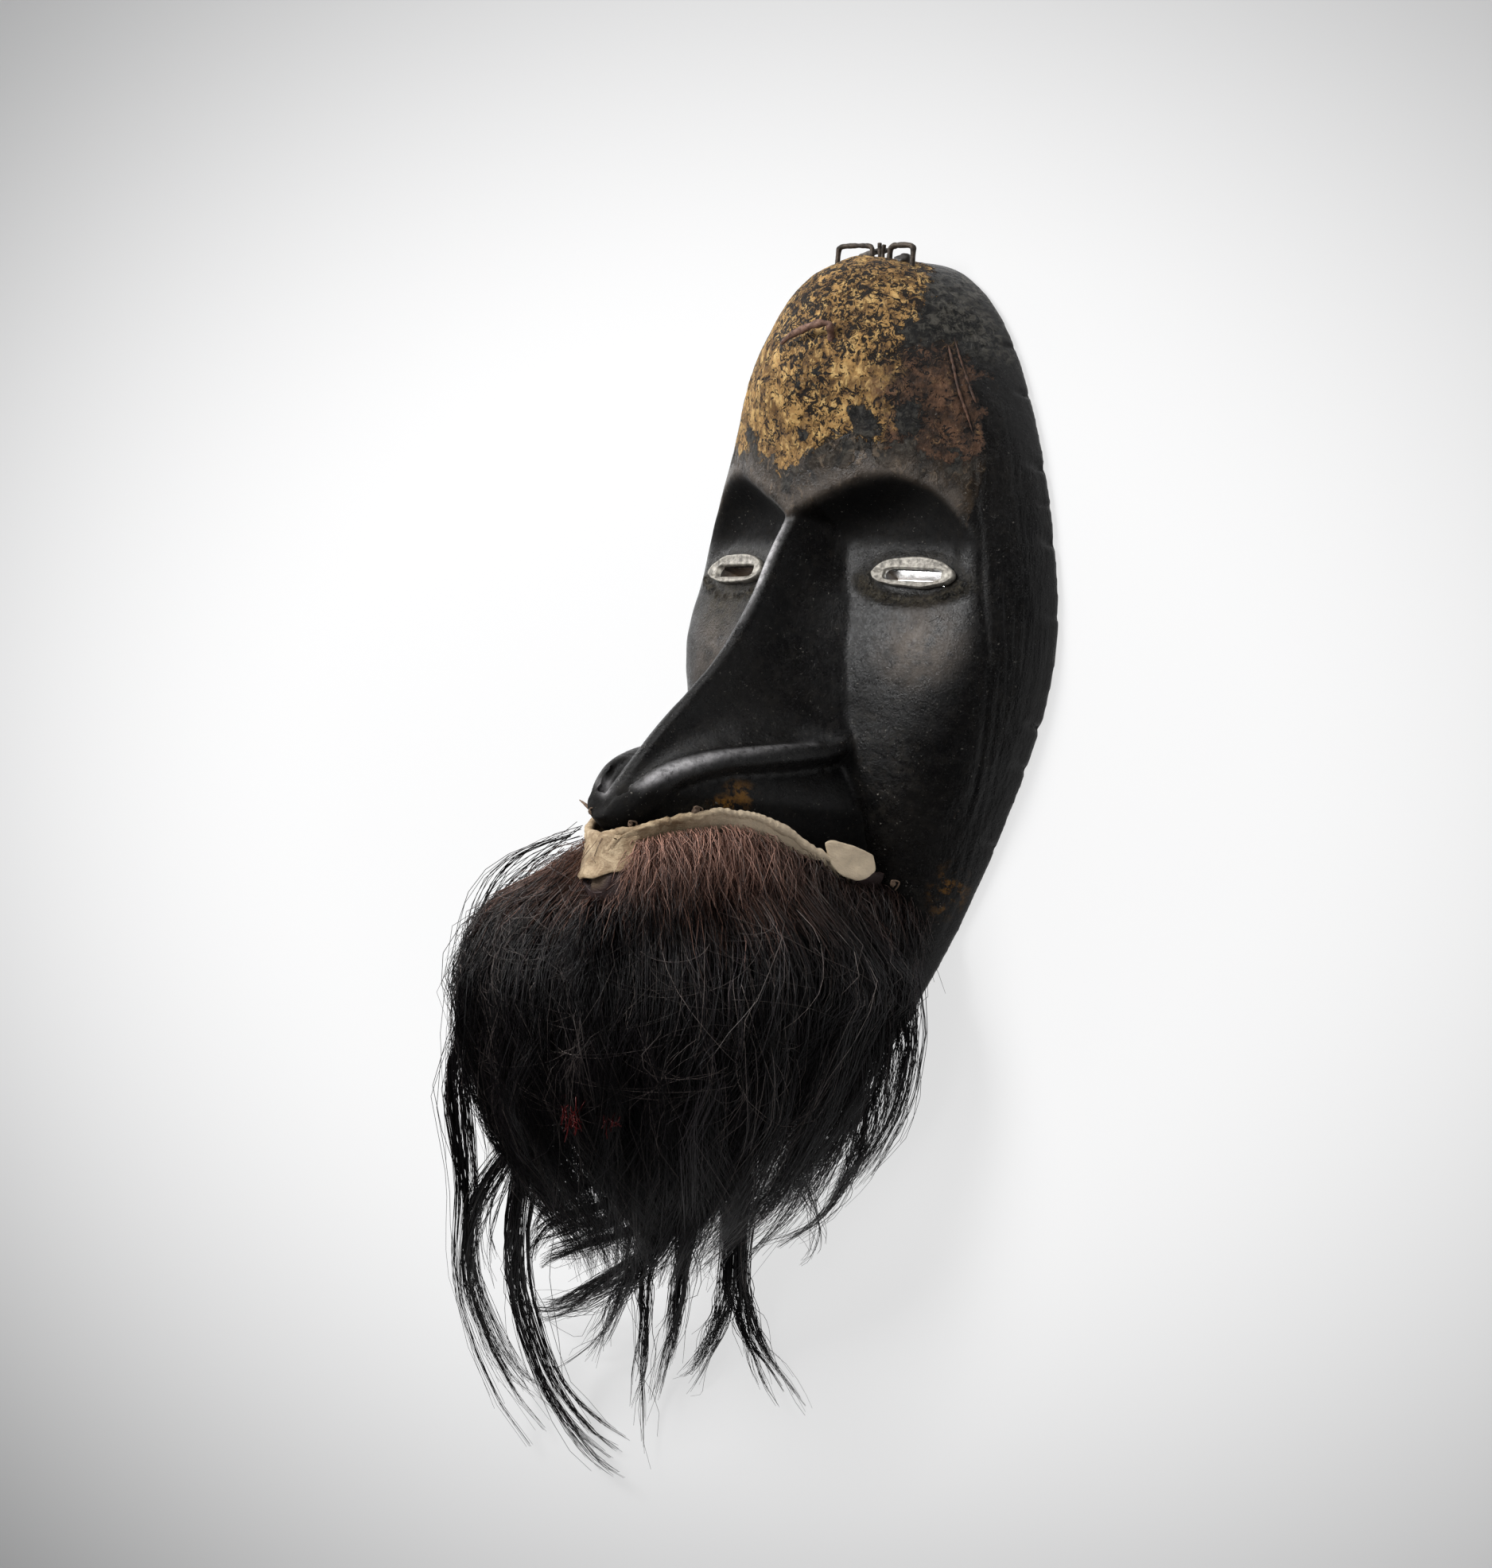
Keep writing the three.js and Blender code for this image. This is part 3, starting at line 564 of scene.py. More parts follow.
def wood_material():
    """Black glossy patina, worn to ochre wood with ragged dark pits on the forehead."""
    n = Nodes("carved_wood")
    dust_mask, crust_mask, crackle_mask = (n.layer(name) for name in ("dust", "crust", "crackle"))
    umber, inside, groove_and_shade = (n.layer(name) for name in ("umber", "inside", "groove_and_shade"))

    grain = n.noise(900, 5, 0.6, (1, 0.16, 1), 0.4)
    blotch = n.noise(150, 8, 0.68, (1, 0.8, 1), 0.5)
    fine = n.noise(1500, 4, 0.6)
    ragged = n.noise(430, 3, 0.6, (1, 0.9, 1), 1.6)
    flecks = n.noise(380, 7, 0.66, (1, 0.7, 1), 0.6)

    # Bare wood of the forehead, from pale ochre to brown, redder on the near side.
    ochre = n.mix(n.span(blotch, 0.38, 0.62), rgb(0.125, 0.066, 0.022), rgb(0.38, 0.22, 0.075))
    ochre = n.cover(ochre, n.span(flecks, 0.5, 0.64), 0.9, 0.56, 0.37, 0.145)
    ochre = n.cover(ochre, n.span(flecks, 0.47, 0.36), 0.9, 0.05, 0.028, 0.014)
    ochre = n.cover(ochre, n.span(grain, 0.45, 0.75), 0.35, 0.08, 0.04, 0.018)
    brown = n.patches(0.38, 0.66, 210, 6, 0.65)
    reddish = n.mix(brown, rgb(0.022, 0.013, 0.009), rgb(0.115, 0.058, 0.032))
    reddish = n.cover(reddish, n.span(flecks, 0.54, 0.72), 0.55, 0.26, 0.15, 0.075)
    red_edge = n.plus(n.layer("red"), n.wander(2.2, 110, 8, 0.7), clamp=True)
    ochre = n.mix(n.span(red_edge, 0.25, 0.8), ochre, reddish)

    # Dark pits, short and worm-like, crowded in some places.
    crowd = n.plus(n.times(n.layer("pitted"), 0.1), n.wander(0.3, 75, 4, 0.6))
    deep = n.plus(ragged, crowd)
    winding = n.math("SUBTRACT", n.noise(360, 3, 0.55, (1, 1, 1), 1.2), 0.5)
    worms = n.span(n.math("ABSOLUTE", winding), 0.03, 0.02)
    worms = n.times(worms, n.span(n.plus(n.noise(240, 3, 0.6), crowd), 0.55, 0.58))
    pits = n.math("MAXIMUM", n.span(deep, 0.612, 0.628), worms)
    ochre = n.cover(ochre, n.span(deep, 0.56, 0.62), 0.35, 0.055, 0.03, 0.016)
    ochre = n.cover(ochre, pits, 0.97, 0.005, 0.0035, 0.003)

    # Ragged borders between the bare wood, the flakes of soot and the patina.
    soot_edge = n.plus(n.layer("soot"), n.wander(3.3, 150, 10, 0.74, (1, 1, 1), 0.7))
    soot = n.span(soot_edge, 0.5, 0.57)
    ochre_edge = n.plus(n.layer("ochre"), n.wander(2.6, 135, 10, 0.75, (1, 1, 1), 0.6))
    bare = n.math("MULTIPLY", n.span(ochre_edge, 0.46, 0.55), n.math("SUBTRACT", 1.0, soot), clamp=True)

    # Black patina, browner where it is thin, with a grey crackled skin in places.
    thin = n.patches(0.35, 0.7, 26, 4, 0.6)
    black = n.mix(thin, rgb(0.0018, 0.0017, 0.0018), rgb(0.0048, 0.0042, 0.0038))
    black = n.cover(black, n.patches(0.56, 0.8, 330, 7, 0.7), 0.4, 0.02, 0.015, 0.011)
    black = n.cover(black, n.times(umber, n.span(blotch, 0.38, 0.64)), 0.9, 0.034, 0.023, 0.014)
    black = n.cover(black, umber, n.span(flecks, 0.55, 0.66), 0.12, 0.085, 0.055)
    wrinkles = n.noise(420, 8, 0.72, (1, 1, 1), 0.8)
    grey = n.mix(n.span(wrinkles, 0.44, 0.6), rgb(0.002, 0.002, 0.002), rgb(0.092, 0.085, 0.07))
    black = n.mix(n.times(n.span(soot_edge, 0.5, 0.7), 0.35), black, grey)
    black = n.mix(n.times(crackle_mask, n.patches(0.3, 0.55, 75, 5, 0.6)), black, grey)
    # Painted shade: the grooves and the scored lines are darkened.
    colour = n.cover(n.mix(bare, black, ochre), groove_and_shade, 0.9, 0.0015, 0.0013, 0.0013)

    # Warm grey wear with a painted sheen on cheeks and brows, painted pale highlights on edges, dust in
    # the low places and pale specks.
    wear_and_sheen = n.times(n.layer("wear_and_sheen"), n.patches(0.3, 0.6, 190, 8, 0.7))
    colour = n.cover(colour, wear_and_sheen, 0.85, 0.1, 0.08, 0.064)
    painted_highlight = n.times(n.layer("painted_highlight"), n.patches(0.2, 0.62, 330, 6, 0.7))
    colour = n.cover(colour, painted_highlight, 0.92, 0.74, 0.72, 0.73)
    specks = n.times(n.patches(0.655, 0.69, 1150, 3, 0.6), n.patches(0.42, 0.6, 260, 4, 0.6))
    dusty = n.times(dust_mask, n.patches(0.46, 0.7, 300, 9, 0.75))
    colour = n.cover(colour, dusty, 0.45, 0.045, 0.038, 0.029)
    colour = n.cover(colour, n.times(specks, dust_mask), 0.95, 0.34, 0.32, 0.28)
    crust = n.times(crust_mask, n.patches(0.36, 0.68, 700, 6, 0.7))
    colour = n.cover(colour, crust, 0.85, 0.075, 0.063, 0.043)
    colour = n.cover(colour, n.layer("orange"), n.patches(0.46, 0.6, 210, 9, 0.75), 0.25, 0.115, 0.018)

    # The unseen hollow: plain dark wood with long grain.
    long_grain = n.patches(0.3, 0.7, 260, 6, 0.6, (1, 0.1, 1))
    plain = n.mix(long_grain, rgb(0.045, 0.028, 0.016), rgb(0.13, 0.08, 0.045))
    colour = n.mix(inside, colour, plain)

    rough = n.span(n.noise(95, 6, 0.6), 0.3, 0.75, 0.19, 0.34)
    rough = n.plus(rough, n.times(n.patches(0.42, 0.7, 620, 5, 0.7), 0.14))
    for mask, amount in (
        (bare, 0.42), (soot, 0.3), (n.layer("matt"), 0.6), (wear_and_sheen, 0.06),
        (crackle_mask, 0.1), (dusty, 0.3), (crust, 0.3), (inside, 0.4),
    ):
        rough = n.plus(rough, n.times(mask, amount), clamp=True)

    height = n.times(grain, 0.12)
    height = n.plus(height, n.times(blotch, 0.5))
    height = n.plus(height, n.times(fine, 0.24))
    for value, mask, amount in (
        (pits, n.plus(bare, 0.05), -2.0),
        (bare, 1.0, -0.45),
        (flecks, bare, 1.5),
        (groove_and_shade, 1.0, -0.35),
        (fine, crust_mask, 1.7),
        (wrinkles, crackle_mask, 4.5),
        (n.noise(330, 4, 0.6, (1, 0.05, 1)), n.layer("striae"), 0.9),
        (wrinkles, soot, 0.8),
        (n.noise(480, 6, 0.7), dust_mask, 0.8),
        (flecks, umber, 0.5),
    ):
        height = n.plus(height, n.times(n.times(value, mask), amount))
    normal = n.bump(height, 0.9, 0.0006)
    return n.shade(Base_Color=colour, Roughness=rough, Normal=normal, Specular_IOR_Level=0.2)


def metal_material(name, dark, pale, rough_low, rough_high, metallic):
    """Dull metal in two tones with fine scratches."""
    n = Nodes(name)
    patch = n.noise(600, 7, 0.68)
    colour = n.mix(n.span(patch, 0.32, 0.66), dark, pale)
    scratches = n.patches(0.56, 0.7, 2200, 3, 0.5, (0.12, 1, 1))
    colour = n.mix(n.times(scratches, 0.35), colour, dark)
    rough = n.span(patch, 0.3, 0.7, rough_high, rough_low)
    normal = n.bump(n.plus(patch, n.times(n.noise(2600, 4, 0.6), 0.3)), 0.6, 0.0003)
    return n.shade(Base_Color=colour, Roughness=rough, Normal=normal, Metallic=metallic)


def hide_material():
    """Bare dried skin: cream with brown stains and fine wrinkles."""
    n = Nodes("dried_hide")
    stain = n.patches(0.34, 0.68, 240, 8, 0.7, (1, 1, 1), 0.6)
    colour = n.mix(stain, rgb(0.25, 0.165, 0.09), rgb(0.54, 0.415, 0.265))
    colour = n.cover(colour, n.patches(0.55, 0.75, 900, 5, 0.65), 0.5, 0.12, 0.07, 0.04)
    colour = n.cover(colour, n.layer("pale"), 0.6, 0.95, 0.79, 0.58)
    colour = n.mix(n.layer("furred"), colour, rgb(0.045, 0.026, 0.024))
    wrinkle = n.noise(700, 6, 0.65, (1, 2.2, 1), 0.8)
    pores = n.span(n.cells(1900), 0.0, 0.25)
    normal = n.bump(n.plus(wrinkle, n.times(pores, 0.35)), 0.8, 0.0005)
    return n.shade(Base_Color=colour, Roughness=0.62, Normal=normal, Specular_IOR_Level=0.4)


def hair_material():
    """Hairs coloured one by one through their own attribute."""
    n = Nodes("long_hair")
    tint = n.layer("tint", "Color")
    colour = n.cover(tint, n.noise(140, 3, 0.6), 0.25, 0.004, 0.0035, 0.0038)
    return n.shade(Base_Color=colour, Roughness=0.36, Specular_IOR_Level=0.28)


def under_hair_material():
    """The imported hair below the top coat: nearly black, combed along its fall."""
    n = Nodes("packed_hair")
    combed = n.noise(900, 5, 0.7, (1, 0.06, 1), 0.5)
    colour = n.mix(n.span(combed, 0.4, 0.75), rgb(0.0012, 0.001, 0.0012), rgb(0.005, 0.0042, 0.0045))
    normal = n.bump(combed, 0.9, 0.0012)
    return n.shade(Base_Color=colour, Roughness=0.55, Normal=normal, Specular_IOR_Level=0.08)


def backdrop_material(centre, right, up):
    """Near-white paper that glows by itself: a painted pool of light that darkens softly away from its
    middle.
    """
    n = Nodes("pale_floor")
    where = n.add("ShaderNodeTexCoord").outputs["Object"]
    away = n.add("ShaderNodeVectorMath", operation="SUBTRACT")
    n.put(away.inputs[0], where)
    away.inputs[1].default_value = centre
    squares = []
    for axis in (right, up):
        dot = n.add("ShaderNodeVectorMath", operation="DOT_PRODUCT")
        n.put(dot.inputs[0], away.outputs["Vector"])
        dot.inputs[1].default_value = axis
        squares.append(n.math("POWER", n.math("ABSOLUTE", dot.outputs["Value"]), 2.0))
    reach = n.math("SQRT", n.plus(*squares))
    # Painted light: the floor glows most in the middle of the view and less towards the corners.
    glow = n.span(reach, 0.6, 2.1, 0.71, 0.0)
    n.put(n.shader.inputs["Emission Strength"], glow)
    n.shader.inputs["Emission Color"].default_value = rgb(1, 1, 1)
    return n.shade(Base_Color=rgb(0.2, 0.2, 0.201), Roughness=0.9, Specular_IOR_Level=0.0)


def blob(points, centre, radius, squash):
    """One round spot that fades out from its middle."""
    away = (points - np.array(centre)) / (np.array(squash) * radius)
    return np.clip(1.25 - np.sqrt((away ** 2).sum(axis=1)), 0, 1)


def spots(points, rows, spread=1.0):
    """The strongest of several round spots at each point."""
    total = np.zeros(len(points))
    for centre, radius, squash, strength in rows:
        total = np.maximum(total, blob(points, centre, radius * spread, squash) * strength)
    return total


# Flakes of soot on the forehead in the mask's millimetres: place, radius, stretch and strength.
SOOT_SPREAD = 1.2
SOOT_PATCHES = [
    ((30.5, 99.5, 29), 6.5, (1.2, 0.9, 1.2), 0.95), ((34, 104, 19.5), 7, (1, 1, 1.3), 0.95),
    ((24.5, 70.5, 40), 5.8, (1.25, 0.75, 1), 1.0), ((20.5, 74, 41.5), 3, (1.4, 0.9, 1), 0.9),
    ((34.8, 72.8, 34), 4.8, (0.9, 1.15, 1.2), 1.0), ((12, 61.5, 43.7), 6.5, (1.6, 0.6, 1), 0.95),
    ((18, 65, 42), 4.5, (1.2, 0.7, 1), 0.85), ((46.3, 62.6, 24.3), 3.5, (1, 1, 1), 0.9),
    ((-12, 60.5, 44), 5, (1.5, 0.6, 1), 0.7), ((-24, 66, 39), 6, (1.2, 0.9, 1), 0.75),
    ((3, 67, 45.5), 3, (1, 0.8, 1), 0.7), ((24, 117, 20), 6, (1, 0.6, 1), 0.75),
    ((28, 82, 38), 3, (1.4, 0.8, 1), 0.6), ((-20, 96, 35), 5, (1.4, 1, 1), 0.5),
    ((9, 84, 47), 3, (0.7, 1.5, 1), 0.55), ((2.4, 84, 48), 3.5, (0.35, 1.7, 1), 0.75),
]
OCHRE_EDGE = [
    (58, 51), (66, 50), (74, 48.5), (83, 46), (91, 42.5), (97.5, 36.5), (101, 31), (106, 28.5),
    (112, 25), (118, 20), (122, 12),
]
OCHRE_LOW = [
    (-60, 67), (-30, 62), (-22, 63), (-10, 58.5), (-4, 54.5), (3, 59), (10, 64), (17, 67), (25, 65),
    (34, 64), (42, 62), (52, 61),
]
# The incised line beside the forehead and the parallel grooves down the near side wall: height
# of each line above the rim at each place along it.
SIDE_LINE = [
    (-60, 10), (-42, 12.7), (8, 21.2), (40, 21.6), (63, 21.2), (74.5, 18.5), (98, 21.9), (110, 24),
]
SIDE_GROOVES = ((0, 0.32, -45, 74), (-2.6, 0.14, -70, 60), (-5.0, 0.2, -80, 45), (-7.2, 0.12, -60, 30))
# Chips in the rim: height, depth and width.
RIM_CHIPS = [
    (63, 1.8, 1.9), (41.6, 1.5, 2.4), (84, 1.2, 1.2), (-12, 1.7, 1.5), (-24, 1.3, 1.7), (20, 0.8, 1.2),
    (-47, 1.1, 1.6), (52, 0.7, 1.0), (98, 0.8, 1.2),
]
# Spots of dust, crust, orange paint and worn skin with a painted sheen, in the same form as the soot.
DUST = [
    ((35, -26, 32), 19, (0.75, 1.35, 1), 1), ((36, 22, 28), 9, (1.5, 0.6, 1), 0.5),
    ((10, -42, 90), 16, (1, 0.8, 1.3), 0.8), ((6, -8, 70), 14, (1, 1.2, 1.4), 0.3),
    ((22, -56, 50), 16, (1, 0.5, 1.6), 0.9), ((36, -70, 18), 14, (1, 1.4, 1), 0.7),
]
CRUST = [((-40, 20, 29), 11, (1.3, 0.85, 1), 0.9), ((14, -46, 82), 7, (1.2, 0.7, 1.6), 0.5)]
ORANGE = [
    ((16.6, -38.5, 70.5), 4.5, (1, 0.9, 1.2), 0.8), ((16.5, -42, 75), 4, (1, 0.7, 1.5), 1),
    ((44, -62, 10), 6, (1, 1.6, 1), 0.7),
]
# Grey wear on both cheeks that also paints the sheen there.
WEAR_AND_SHEEN = [((43, 8.5, 30), 13.5, (1.0, 0.92, 1.6), 1), ((-41, 6, 30), 13, (0.9, 1.2, 1.6), 0.8)]
# Painted highlights, pale grey, along the lip crest, the beak's tip and the nose ridge: points along each
# with the strength there and its reach.
HIGHLIGHT_EDGES = (
    ([
        (9.6, -39.4, 102.6), (11.8, -36.2, 98.6), (13.9, -33.3, 93.8), (15.5, -30.9, 87.2),
        (17.4, -28.2, 79.5), (19.8, -25.2, 66.5), (21.2, -21.5, 48),
    ], (0.3, 0.8, 1.0, 0.85, 0.35, 0.2, 0.1), 1.5),
    ([(-1.5, -41.6, 105), (-4.5, -40.3, 103.3), (-7, -39, 101.3)], (0.3, 0.5, 0.3), 1.6),
    ([
        (-0.9, 42, 45.5), (-0.8, 36, 48.2), (-0.7, 28.4, 51.9), (-0.4, 20, 56.5), (0, 12, 60.5),
    ], (0.2, 0.8, 1.0, 0.5, 0.1), 1.1),
)
# Twin incised lines on the near side of the forehead, on the surface.
SCORED_LINES = (
    [(35.2, 98.4, 22.4), (39.1, 91.2, 23.1), (42.6, 83.1, 23.1), (45.6, 76.4, 22.0), (47.8, 70.8, 21.0)],
    [(36.5, 98.7, 20.6), (40.0, 91.5, 20.5), (44.2, 83.5, 19.8), (46.7, 78.0, 18.6), (48.5, 74.1, 18.0)],
)


def eye_crust(points, widen, width, least, top, fade):
    """The crust in a ring just outside both metal rims, weaker above them."""
    x, y, z = points.T
    up = (y - EYE_Y + SLIT_DROP) / (EYE_HEIGHT / 2 + widen[1])
    lower = least + (1 - least) * smoothstep((EYE_Y + top - y) / fade)
    crust = np.zeros(len(points))
    for side in (1, -1):
        across = (side * x - EYE_X) / (EYE_LENGTH / 2 + widen[0])
        ring = np.exp(-((np.sqrt(across ** 2 + up ** 2) - 1) / width) ** 2)
        crust = np.maximum(crust, ring * (z > 15) * lower)
    return crust


def side_grooves(points, width):
    """How strongly each groove of the near side wall acts at each point."""
    x, y, z = points.T
    line = profile(SIDE_LINE)(y)
    for offset, depth, low, high in SIDE_GROOVES:
        along = smoothstep((y - low) / 12) * smoothstep((high - y) / 12)
        yield np.exp(-((z - line - offset) / width) ** 2) * along * depth * (x > 0)


def noise_at(points, *waves):
    """Noise at each point, summed over waves of (how fine, how strong)."""
    total = [
        sum(noise.noise(Vector(q) * fine) * strong for fine, strong in waves) for q in points.tolist()
    ]
    return np.array(total)


def beside(points, way):
    """The distance from each point to the nearest point of a way."""
    return np.min([np.linalg.norm(points - q, axis=1) for q in way], axis=0)


def hollow_layer(points, normals):
    """1 on the inside of the shell and on the flat edge of its rim."""
    x, y, z = points.T
    facing_back = smoothstep((0.4 - normals[:, 2]) / 0.4)
    reach = np.clip(1 - (x / np.maximum(half_width(y) - WALL * 0.5, 1)) ** 2, 0, 1)
    inner_dome = (dome_depth(y) - WALL * 0.5) * np.sqrt(reach)
    deep = z < np.minimum(inner_dome, plane_depth(y) + np.where(y > 45, 60, 0) - WALL * 0.45)
    inside = deep & (np.abs(x) < half_width(y) * 0.93) & (facing_back > 0.2)
    return np.maximum(np.where(inside, 1.0, 0.0), (z < 0.35) * 1.0)


def wood_layers(piece):
    """Paints the wear, grooves and dust that the wood material reads, and the sheen, highlights and shade
    painted into its colour.
    """
    p = coordinates(piece)
    x, y, z = p.T
    out = np.abs(x)
    low_edge = profile(OCHRE_LOW)(x)
    above_brow = y - front_brow(x)

    ochre = smoothstep((profile(OCHRE_EDGE)(y) - out + 4) / 8)
    ochre = ochre * smoothstep((y - low_edge + 6) / 13) * smoothstep((z - 4) / 8)
    umber = smoothstep((above_brow + 3) / 7) * smoothstep((low_edge + 6 - y) / 5) * (out < 52) * (z > 12)
    red = smoothstep((x - 17) / 22) * smoothstep((104 - y) / 12)
    low_band = np.exp(-((y - low_edge + 0.5) / 4.5) ** 2) * (z > 14) * (out < 50)
    soot = np.maximum(spots(p, SOOT_PATCHES, SOOT_SPREAD), low_band * 0.66)
    crackle = smoothstep((x - 12) / 12) * smoothstep((y - 88) / 12) * (1 - ochre)

    # Grooves and scored lines: their depth for the bump and painted shade for the colour.
    groove_and_shade = np.max([cut * 1.6 for cut in side_grooves(p, 0.65)], axis=0)
    for line in SCORED_LINES:
        groove_and_shade = np.maximum(groove_and_shade, np.exp(-(beside(p, spline(line, 60)) / 1.15) ** 2) * 1.1)
    striae = (x > 20) * smoothstep((23 - z) / 5) * smoothstep((y + 70) / 20) * smoothstep((74 - y) / 12)

    # Painted highlights: pale grey along the lip crest, the beak's tip and the nose ridge.
    painted_highlight = np.zeros(len(p))
    share = np.linspace(0, 1, 60)
    for edge, strengths, reach in HIGHLIGHT_EDGES:
        strength = np.interp(share, np.linspace(0, 1, len(strengths)), strengths)
        for q, amount in zip(spline(edge, 60), strength):
            near = np.exp(-(np.linalg.norm(p - q, axis=1) / reach) ** 2)
            painted_highlight = np.maximum(painted_highlight, amount * near)
    # A grey band along the edge of each brow: a painted highlight.
    brow = np.exp(-((above_brow - 2.5) / 3) ** 2) * (z > 22) * (out < 50)
    wear_and_sheen = np.maximum(spots(p, WEAR_AND_SHEEN), brow * 0.7)

    under_brow = smoothstep((1 - above_brow) / 4) * smoothstep((y - EYE_Y - 5) / 7) * (z > 12) * (out > 9)
    muzzle = smoothstep((-38 - y) / 4) * smoothstep((z - 20) / 8) * (out < 26) * (y > -62)
    dust = np.maximum(spots(p, DUST), 0.28 * (z > 12))
    crust = np.maximum(eye_crust(p, (2.2, 2.2), 0.2, 0.25, 1, 4), spots(p, CRUST))
    pitted = smoothstep((y - 82) / 12) * smoothstep((x + 22) / 14)
    pitted = np.maximum(pitted, blob(p, (10, 80, 46), 13, (0.8, 1, 1)))
    pitted = np.maximum(pitted - 0.7 * smoothstep((76 - y) / 8), 0.3)

    layers = {
        "ochre": ochre, "soot": soot, "red": red, "dust": dust, "crust": crust,
        "inside": hollow_layer(p, vertex_normals(piece)), "groove_and_shade": groove_and_shade, "orange": spots(p, ORANGE),
        "pitted": pitted, "wear_and_sheen": wear_and_sheen, "crackle": crackle, "umber": umber,
        "matt": np.maximum(under_brow, muzzle), "striae": striae, "painted_highlight": painted_highlight,
    }
    for name, values in layers.items():
        paint(piece, name, values)


def carve_surface(piece):
    """Moves the outside by tool marks, pits, grooves, rim chips and the crust round the eyes."""
    p = coordinates(piece)
    x, y, z = p.T
    move = noise_at(p, (0.045, 0.55), (0.16, 0.16))
    forehead = smoothstep((y - 58) / 8) * smoothstep((z - 4) / 8) * smoothstep((52 - np.abs(x)) / 8)
    rough = forehead > 0.02
    dents = np.minimum(noise_at(p[rough], (0.42, 1)) + 0.12, 0) * 0.75
    move[rough] += forehead[rough] * (dents + noise_at(p[rough], (0.9, 0.14)))
    for cut in side_grooves(p, 0.8):
        move -= cut * 0.6
    rim = np.abs(x) > half_width(y) - 14
    for at, deep, wide in RIM_CHIPS:
        near = np.exp(-((y - at - 0.12 * z) / (wide * 0.65)) ** 2) * smoothstep((9 - z) / 7)
        far = np.exp(-((y + at * 0.8 + 9) / wide) ** 2) * smoothstep((6 - z) / 5)
        move -= near * deep * 0.8 * rim * (x > 0)
        move -= far * deep * 0.5 * rim * (x < 0)
    crust = eye_crust(p, (2.0, 1.9), 0.15, 0.15, 0.5, 3)
    crusted = crust > 0.02
    lumps = noise_at(p[crusted], (0.6, 1), (1.3, 0.5))
    move[crusted] += crust[crusted] * (0.75 + lumps * 1.5)
    move *= smoothstep(z / 1.2)
    p = p + vertex_normals(piece) * move[:, None]
    p[:, 2] = np.maximum(p[:, 2], 0)
    set_coordinates(piece, p)


def eye_plane(side):
    """The lean of the plane of the left (1) or right (-1) eye, and how far it stands out."""
    stands = float(plane_depth(EYE_Y)) - PLANE_SLOPE * (EYE_X - PLANE_FROM_X)
    rise = (float(plane_depth(EYE_Y + 5)) - float(plane_depth(EYE_Y - 5))) / 10
    lean = Matrix.Rotation(side * math.atan(EYE_TURN), 4, "Y") @ Matrix.Rotation(math.atan(rise), 4, "X")
    return lean, stands


def build_wood(voxel):
    """The carved block: outside, beak, muzzle and jaw made one, then hollowed and slit for the eyes."""
    shapes = (
        block_shape(shell_grid(60, 10, 100, 64, 0.0), 0.0),
        beak_shape(),
        loft_shape(snout_rings(MUZZLE, 2.4)),
        loft_shape(snout_rings(JAW, JAW_POWER)),
    )
    parts = []
    for k, (points, faces) in enumerate(shapes):
        part = mesh_object(f"wood_part_{k}", points, faces)
        tidy_normals(part)
        parts.append(part)
    wood = joined("carved_mask", parts)
    apply_modifier(wood, "REMESH", mode="VOXEL", voxel_size=voxel * MM, use_smooth_shade=True)
    apply_modifier(wood, "SMOOTH", factor=0.5, iterations=4)
    edge = wood.vertex_groups.new(name="rim_edge")
    edge.add(np.nonzero(coordinates(wood)[:, 2] < 5)[0].tolist(), 1.0, "REPLACE")
    apply_modifier(wood, "SMOOTH", factor=0.5, iterations=30, vertex_group="rim_edge")
    carve_surface(wood)
    hollow = mesh_object("hollow", *block_shape(shell_grid(24, 4, 34, 26, WALL), -5.0))
    tidy_normals(hollow)
    cut_away(wood, hollow)
    for side in (1, -1):
        bpy.ops.mesh.primitive_cube_add(size=1)
        slit = bpy.context.object
        slit.scale = ((EYE_SLIT + 0.4) * MM, (EYE_SLIT_HEIGHT + 0.4) * MM, 40 * MM)
        lean, stands = eye_plane(side)
        place = Matrix.Translation(world([side * EYE_X, EYE_Y - SLIT_DROP, stands]))
        slit.matrix_world = place @ lean @ Matrix.Diagonal((*slit.scale, 1))
        bpy.ops.object.transform_apply(location=True, rotation=True, scale=True)
        cut_away(wood, slit)
    wood_layers(wood)
    smooth(wood)
    only(wood)
    bpy.ops.object.shade_smooth_by_angle(angle=math.radians(50))
    wood.data.materials.clear()
    wood.data.materials.append(wood_material())
    return wood


def onto_eye(points, side):
    """Puts points from a flat drawing on one eye's plane."""
    lean, stands = eye_plane(side)
    move = Matrix.Translation((side * EYE_X, EYE_Y, stands)) @ lean
    return [tuple(move @ Vector(p)) for p in points]


def ring_faces(rows, count):
    """Quads of a grid that closes both ways."""
    faces = []
    for i in range(rows):
        here, beyond = i * count, (i + 1) % rows * count
        for j in range(count):
            nxt = (j + 1) % count
            faces.append([here + j, here + nxt, beyond + nxt, beyond + j])
    return faces


